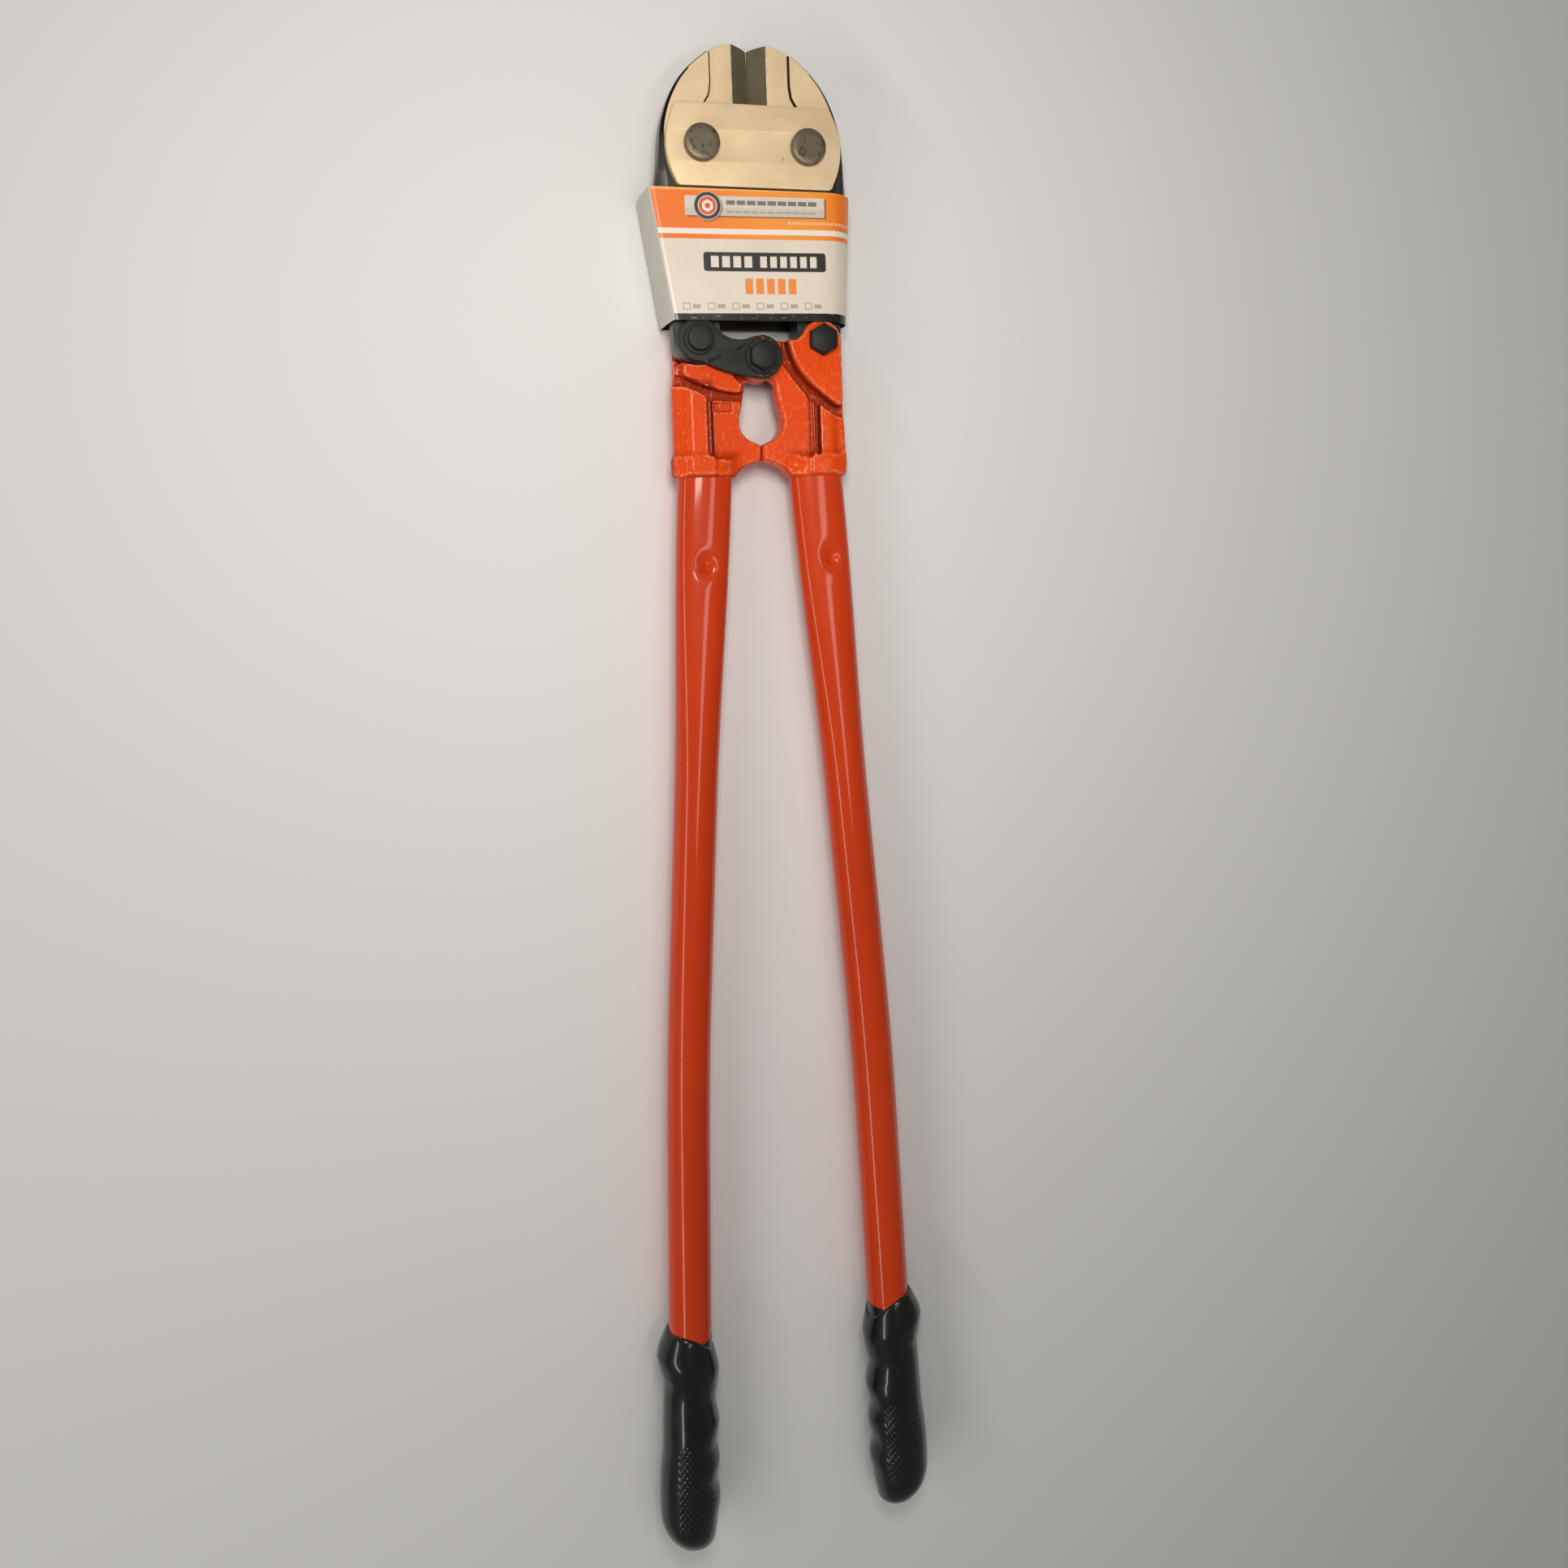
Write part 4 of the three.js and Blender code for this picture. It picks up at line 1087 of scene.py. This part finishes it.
def vertex_normals(points, faces):
    """Normals of a mesh of quads, pointing out of the solid."""
    corners = points[faces]
    across = np.cross(corners[:, 2] - corners[:, 0], corners[:, 3] - corners[:, 1])
    normals = np.zeros_like(points)
    for k in range(4):
        np.add.at(normals, faces[:, k], across)
    normals /= np.linalg.norm(normals, axis=1)[:, None] + 1e-12
    volume = np.einsum("ij,ij->", corners.mean(1) - points.mean(0), across)
    return normals if volume > 0 else -normals


def sample(field, corner, pitch, points):
    """A field's values at points, interpolated between its samples."""
    place = (points - corner) / pitch
    low = np.clip(np.floor(place).astype(int), 0, np.array(field.shape) - 2)
    share = np.clip(place - low, 0, 1)
    total = np.zeros(len(points))
    for i in (0, 1):
        for j in (0, 1):
            for k in (0, 1):
                weight = np.abs([1 - i, 1 - j, 1 - k] - share).prod(1)
                total += weight * field[low[:, 0] + i, low[:, 1] + j, low[:, 2] + k]
    return total


# ---------------- tubes and grips

TUBE_TOP_X = 34.2
TUBE_TOP_Y = SOCKET_Y - GAP
TUBE_TOP_HALF_WIDTH = 16.3
TUBE_TOP_HALF_THICKNESS = 10.1
TUBE_END_Y = -714
SLOPE_TOP = 0.0695
SLOPE_BOTTOM = 0.033
BEND_START_Y = -380
BEND_LENGTH = 100
# The place of the crimp in each tube
CRIMPS = {"left": (37.0, -121.0), "right": (40.2, -118.8)}


def axis_x(y):
    """The tube's axis: straight, a slight bend, then straight to the grip."""
    bend = np.clip(BEND_START_Y - y, 0, BEND_LENGTH)
    past = np.maximum(BEND_START_Y - BEND_LENGTH - y, 0)
    loss = (SLOPE_TOP - SLOPE_BOTTOM) * (bend ** 2 / (2 * BEND_LENGTH) + past)
    return TUBE_TOP_X + SLOPE_TOP * (TUBE_TOP_Y - y) - loss


def tube_rings(stations, inset, crimp, sides=72):
    """Rings of the tube: an oval at the top that turns round below, with punched crimps."""
    angle = 2 * np.pi * np.arange(sides) / sides
    y = np.asarray(stations, float)[:, None]
    share = np.clip((-y - 90) / 170, 0, 1)
    share = share * share * (3 - 2 * share)
    half_width = TUBE_TOP_HALF_WIDTH + (TUBE_R - TUBE_TOP_HALF_WIDTH) * share - inset
    half_thickness = (TUBE_TOP_HALF_THICKNESS + (TUBE_R - TUBE_TOP_HALF_THICKNESS) * share
                      - inset)
    power = 2.35 - 0.35 * share
    wave_x = np.sign(np.cos(angle)) * np.abs(np.cos(angle)) ** (2 / power)
    wave_z = np.sign(np.sin(angle)) * np.abs(np.sin(angle)) ** (2 / power)
    x = axis_x(y) + half_width * wave_x
    z = half_thickness * wave_z
    away = np.hypot(x - crimp[0], (y - crimp[1]) * 0.85)
    pit = np.hypot(x - crimp[0] + 0.4, y - crimp[1] + 2.4)
    dent = 2.3 * np.exp(-(away / 5.4) ** 2) + 1.8 * np.exp(-(pit / 1.7) ** 2)
    z = z - np.sign(z) * np.minimum(dent, np.abs(z) * 0.6)
    return np.stack([x, np.broadcast_to(y, x.shape), z], -1)


def tube_shape(crimp):
    """An open tube, its outside joined to its inside at both ends."""
    stations = np.concatenate([
        np.arange(TUBE_TOP_Y, -106, -2.5), np.arange(-106, -136, -0.6),
        np.arange(-136, -380, -6), np.arange(-380, -482, -5), np.arange(-482, TUBE_END_Y, -14),
        [TUBE_END_Y]])
    outside = tube_rings(stations, 0, crimp)
    inside = tube_rings(stations[::-1], TUBE_WALL, crimp)
    rings = np.concatenate([outside, inside])
    count, sides = rings.shape[:2]
    return rings.reshape(-1, 3), loop_faces(count, sides)


def tang_shape(crimp):
    """The bar of the handle head inside the tube."""
    stations = np.concatenate([[SOCKET_Y + 3], np.arange(-72, -135.5, -2.0)])
    rings = tube_rings(stations, TUBE_WALL + GAP, crimp, sides=40)
    count, sides = rings.shape[:2]
    return rings.reshape(-1, 3), ring_faces(count, sides)


# Outer side, its Y, inner side, its Y (from the tube's axis), and the half-thickness
GRIP_RINGS = [
    (13.6, -592.2, -13.6, -606.7, 13.6), (14.6, -592.6, -14.4, -607.2, 14.5),
    (17.4, -598, -15.8, -611.5, 16.2), (20.6, -607, -17.6, -620, 18.2),
    (19.2, -616, -16.8, -629, 17.4), (17.1, -625, -15.4, -639, 16.4),
    (17.4, -640, -16.5, -647, 16.6), (17.7, -654, -17.8, -655, 17), (17.9, -667, -16.3, -667, 17),
    (18.9, -678, -17.9, -679, 17.3), (19.7, -691, -16.6, -691, 17.4),
    (19.8, -703, -18.3, -703, 17.4), (19, -714, -16.9, -715, 17), (15.9, -723, -15.8, -724, 15.4),
    (9.8, -731, -14.2, -731.5, 11), (4, GRIP_END_Y, -9, GRIP_END_Y, 5)]
KNURL_TOP = -657
KNURL_BOTTOM = -717
KNURL_PITCH = 3.3
KNURL_DEPTH = 0.6


def knurl(x, y):
    """Height of the diamond pattern on the grip's flat faces."""
    across = (x - axis_x(y)) + 0.5
    width = np.clip((11.5 - np.abs(across)) / 1.5, 0, 1)
    arch = KNURL_TOP - 0.05 * across ** 2
    along = np.clip((arch - y) / 1.5, 0, 1) * np.clip((y - KNURL_BOTTOM) / 1.5, 0, 1)
    first = np.abs(np.sin(np.pi * (across + y * 0.7) / KNURL_PITCH))
    second = np.abs(np.sin(np.pi * (across - y * 0.7) / KNURL_PITCH))
    return KNURL_DEPTH * width * along * (np.minimum(first, second) - 0.45)


def grip_shape():
    """A grip: its moulded skin, a lip at the mouth and the bore for the tube."""
    sides = 176
    angle = 2 * np.pi * np.arange(sides) / sides
    keys = np.array(through(GRIP_RINGS, 24))
    middle_y = (keys[:, 1] + keys[:, 3]) / 2
    wanted = np.concatenate([np.arange(-599.4, -652, -1.1), np.arange(-652, -719, -0.55),
                             np.arange(-719, GRIP_END_Y + 1, -0.9), [GRIP_END_Y + 0.3, GRIP_END_Y]])
    rows = np.column_stack([np.interp(-wanted, -middle_y, keys[:, k]) for k in range(5)])
    across = (1 - np.cos(angle)) / 2
    axis = axis_x((rows[:, 1] + rows[:, 3]) / 2)[:, None]
    outer, outer_y, inner, inner_y, half = (rows[:, k][:, None] for k in range(5))
    x = axis + outer + (inner - outer) * across
    rim = np.clip((outer_y + 640) / 48, 0, 1)
    y = outer_y + (inner_y - outer_y) * across + 5.5 * rim * np.sin(angle) ** 2
    z = half * np.sin(angle)
    z = z + np.sign(z) * knurl(x, y) * np.clip(np.abs(np.sin(angle)) * 3 - 1, 0, 1)
    skin = np.stack([x, y, z], -1)
    no_crimp = (10.0, -1000.0)
    bore = tube_rings(np.linspace(TUBE_END_Y - GAP, -598, 20), -GAP / 2, no_crimp, sides)
    lip = np.stack([axis_x(y[0]) + (x[0] - axis[0]) * 0.985, y[0], z[0] * 0.985], -1)
    rings = np.concatenate([skin[::-1], lip[None], bore[::-1]])
    return rings.reshape(-1, 3), ring_faces(len(rings), sides)


def make_handles():
    """Both handles: casting with its tang, painted tube and grip."""
    casting, tube_paint, vinyl = orange_casting(), orange_tube(), black_grip()
    points, faces, ridge, pit = head_shape()
    for side in ("left", "right"):
        body, left = f"{side}_handle", side == "left"
        crimp = CRIMPS[side]
        head = make(f"{side}_handle_casting", merged((points, faces), tang_shape(crimp)),
                    [casting], body, [f"handle_head_{side}"], left=left, sharp=60)
        for name, values in (("ridge", ridge), ("pit", pit)):
            full = np.zeros(len(head.data.vertices), np.float32)
            full[:len(values)] = values
            head.data.attributes.new(name, "FLOAT", "POINT").data.foreach_set("value", full)
        make(f"{side}_painted_tube", tube_shape(crimp), [tube_paint], body,
             [f"handle_tube_{side}"], left=left, sharp=50)
        make(f"{side}_vinyl_grip", grip_shape(), [vinyl], body,
             [f"grip_{side}"], left=left, sharp=70)


# ---------------- links and bolts

def link_outline():
    """A link plate, from the centre bolt to the outer bolt."""
    x, y = OUTER_BOLT
    return [
        *arc((0, 0), 12.6, 94, 270, 30), *curve((0, -12.6), (20, -10.8), (35, -3.2), steps=12),
        (39.5, -2.3), *arc((x, y), 12.3, -79, 140, 36),
        *curve((27.6, 17.6), (20, 7.8), (9, 10.2), steps=12)]


def link_material():
    """Black plate with two chisel marks in front, and paint flecks round the centre bolt."""
    f = black_steel("link_plate")
    colour = f.shader.inputs["Base Color"].links[0].from_socket
    front = f.z.rise(8, 9)
    marks = None
    for start, end in (((-32, -3.4), (-24, 0.8)), ((-15, 3.6), (-8.5, 7.6))):
        dx, dy = end[0] - start[0], end[1] - start[1]
        length = math.hypot(dx, dy)
        dx, dy = dx / length, dy / length
        along = (f.x - start[0]) * dx + ((f.y - start[1]) * dy)
        across = (f.x - start[0]) * -dy + ((f.y - start[1]) * dx)
        mark = along.rise(0, 1.5) * along.rise(length, length - 1.5) * across.abs().rise(0.8, 0.4)
        marks = mark if marks is None else marks.max(mark)
    radius = (f.x * f.x + (f.y * f.y)).math("SQRT")
    ring = (radius - 10.6).abs().rise(1.3, 0.5)
    flecks = ring * f.noise(2.2, 2).rise(0.56, 0.66) * front
    colour = f.mix(marks * front * 0.85, colour, (6, 6, 6))
    f.colour(f.mix(flecks * 0.8, colour, (186, 74, 44)))
    height = f.noise(0.5, 3, 0.6) * 0.025 + (f.noise(8, 3, 0.55) * 0.1)
    f.bump(height - (marks * front * 0.5) + (flecks * 0.1))
    return f.material


def make_links():
    """The link plates, and the bolts, nuts and washers of the handles' pivots."""
    steel = black_steel().material
    marked = link_material()
    holes = [round_hole((0, 0), CENTRE_HOLE), round_hole(OUTER_BOLT, OUTER_HOLE)]

    def turned(name, shape, side, node, left=False):
        """A turned steel piece on one handle."""
        make(name, shape, [steel], f"{side}_handle", [node], left=left, sharp=28)

    foot, head = level("outer_bolt_right", 0), level("outer_bolt_right", 1)
    seat, rest = EAR_OUT + GAP, -LINK_OUT - GAP
    bolt = polar([(6, foot + 0.8), (6, seat + 0.5), *hex_rings(16, seat, head)], OUTER_BOLT)
    nut = polar([(3, foot + 0.05), (6.3, foot), (6.8, foot + 0.15), (7, foot + 0.6),
                 (7.2, rest - 1.4), (8.6, rest - 1.2), (9, rest - 0.9), (9, rest), (6.05, rest)],
                OUTER_BOLT)
    for side, name in (("left", "front"), ("right", "rear")):
        left = side == "left"
        shape = plate([link_outline(), *holes], -LINK_OUT, -LINK_IN, 0.5)
        make(f"{name}_link", shape, [marked], f"{side}_handle",
             [f"{name}_link_plate"], left=left)
        turned(f"{side}_outer_hex_bolt", bolt, side, f"outer_bolt_{side}", left)
        turned(f"{side}_outer_round_nut", nut, side, f"outer_nut_{side}", left)
    washer, flats = 1.5, 15.4
    seat, top = LINK_OUT + 2 * GAP + washer, level("centre_bolt", 1)
    bolt = polar([(5.3, -top), (5.8, 0.5 - top), (5.8, seat), *hex_rings(flats, seat, top)])
    turned("centre_hex_bolt", bolt, "left", "centre_bolt")
    nut = bored(hex_rings(flats, seat, top, 6.0), turned_over=True)
    turned("centre_hex_nut", nut, "left", "centre_nut")
    for name, low, radius in (("front", LINK_OUT + GAP, 10), ("rear", -LINK_OUT - GAP - washer, 11.5)):
        high = low + washer
        ring = bored([(CENTRE_HOLE, low), (radius - 0.3, low), (radius, low + 0.3),
                      (radius, high - 0.3), (radius - 0.3, high), (CENTRE_HOLE, high),
                      (CENTRE_HOLE, low)])
        turned(f"{name}_washer", ring, "left", f"{name}_centre_washer")


# ---------------- camera, floor and light

CAMERA_PLACE = (-0.16919, 0.16067, 0.74116)
CAMERA_RIGHT = (0.968875, -0.035003, 0.245065)
CAMERA_BACK = (-0.241922, 0.076039, 0.967312)
FLOOR_HALF = 6
FLOOR_COLOUR = (0.86, 0.86, 0.86, 1)
WORLD_COLOUR = (1, 0.985, 0.96, 1)
WORLD_STRENGTH = 0.16
LAMP_COLOUR = (1, 0.96, 0.9)


def make_camera():
    """The view of the front, from over the head and a little to the left."""
    data = bpy.data.cameras.new("camera")
    camera = add_object("camera", data)
    camera.location = CAMERA_PLACE
    back = Vector(CAMERA_BACK).normalized()
    up = back.cross(Vector(CAMERA_RIGHT).normalized()).normalized()
    camera.rotation_euler = Matrix((up.cross(back), up, back)).transposed().to_euler()
    data.lens = 27.95
    data.sensor_width = 36
    data.shift_y = -0.0859
    data.clip_start = 0.01
    data.clip_end = 20
    bpy.context.scene.camera = camera


def make_floor():
    """A wide pale floor under the cutters."""
    mesh = bpy.data.meshes.new("floor")
    corners = [(-1, -1), (1, -1), (1, 1), (-1, 1)]
    mesh.from_pydata([(x * FLOOR_HALF, y * FLOOR_HALF, 0) for x, y in corners], [], [(0, 1, 2, 3)])
    material = bpy.data.materials.new("floor")
    material.use_nodes = True
    shader = material.node_tree.nodes["Principled BSDF"]
    shader.inputs["Base Color"].default_value = FLOOR_COLOUR
    shader.inputs["Roughness"].default_value = 0.9
    shader.inputs["Specular IOR Level"].default_value = 0.1
    mesh.materials.append(material)
    add_object("floor", mesh)


def area_light(name, place, aim, size, power, lie=(0, 1, 0)):
    """A rectangular lamp; its second side lies along the given direction."""
    data = bpy.data.lights.new(name, "AREA")
    data.shape = "RECTANGLE"
    data.size, data.size_y = size
    data.energy = power
    data.color = LAMP_COLOUR
    light = add_object(name, data)
    light.visible_camera = False
    back = (Vector(place) - Vector(aim)).normalized()
    across = Vector(lie).cross(back).normalized()
    light.rotation_euler = Matrix((across, back.cross(across), back)).transposed().to_euler()
    light.location = place


def make_lights():
    """A dim world, a small key lamp, and two long lamps that draw highlights on the tubes."""
    world = bpy.data.worlds.new("studio")
    world.use_nodes = True
    background = world.node_tree.nodes["Background"]
    background.inputs["Color"].default_value = WORLD_COLOUR
    background.inputs["Strength"].default_value = WORLD_STRENGTH
    bpy.context.scene.world = world
    area_light("key", (-0.12, 0.36, 0.72), (-0.02, 0.3, 0), (0.22, 0.22), 2.8)
    area_light("overhead", (0.2, 0.03, 1.25), (0, 0.1, 0), (0.15, 0.8), 1.8, (0.5, 0.6, 0))
    area_light("strip", (-1.15, -0.37, 0.85), (0, -0.1, 0), (0.12, 1.9), 5.6, (-1, 1.45, 0))


# ---------------- scene

bpy.context.scene.view_settings.view_transform = "Standard"
make_camera()
make_floor()
make_lights()
make_jaws()
make_head_frame()
make_sleeve()
make_handles()
make_links()
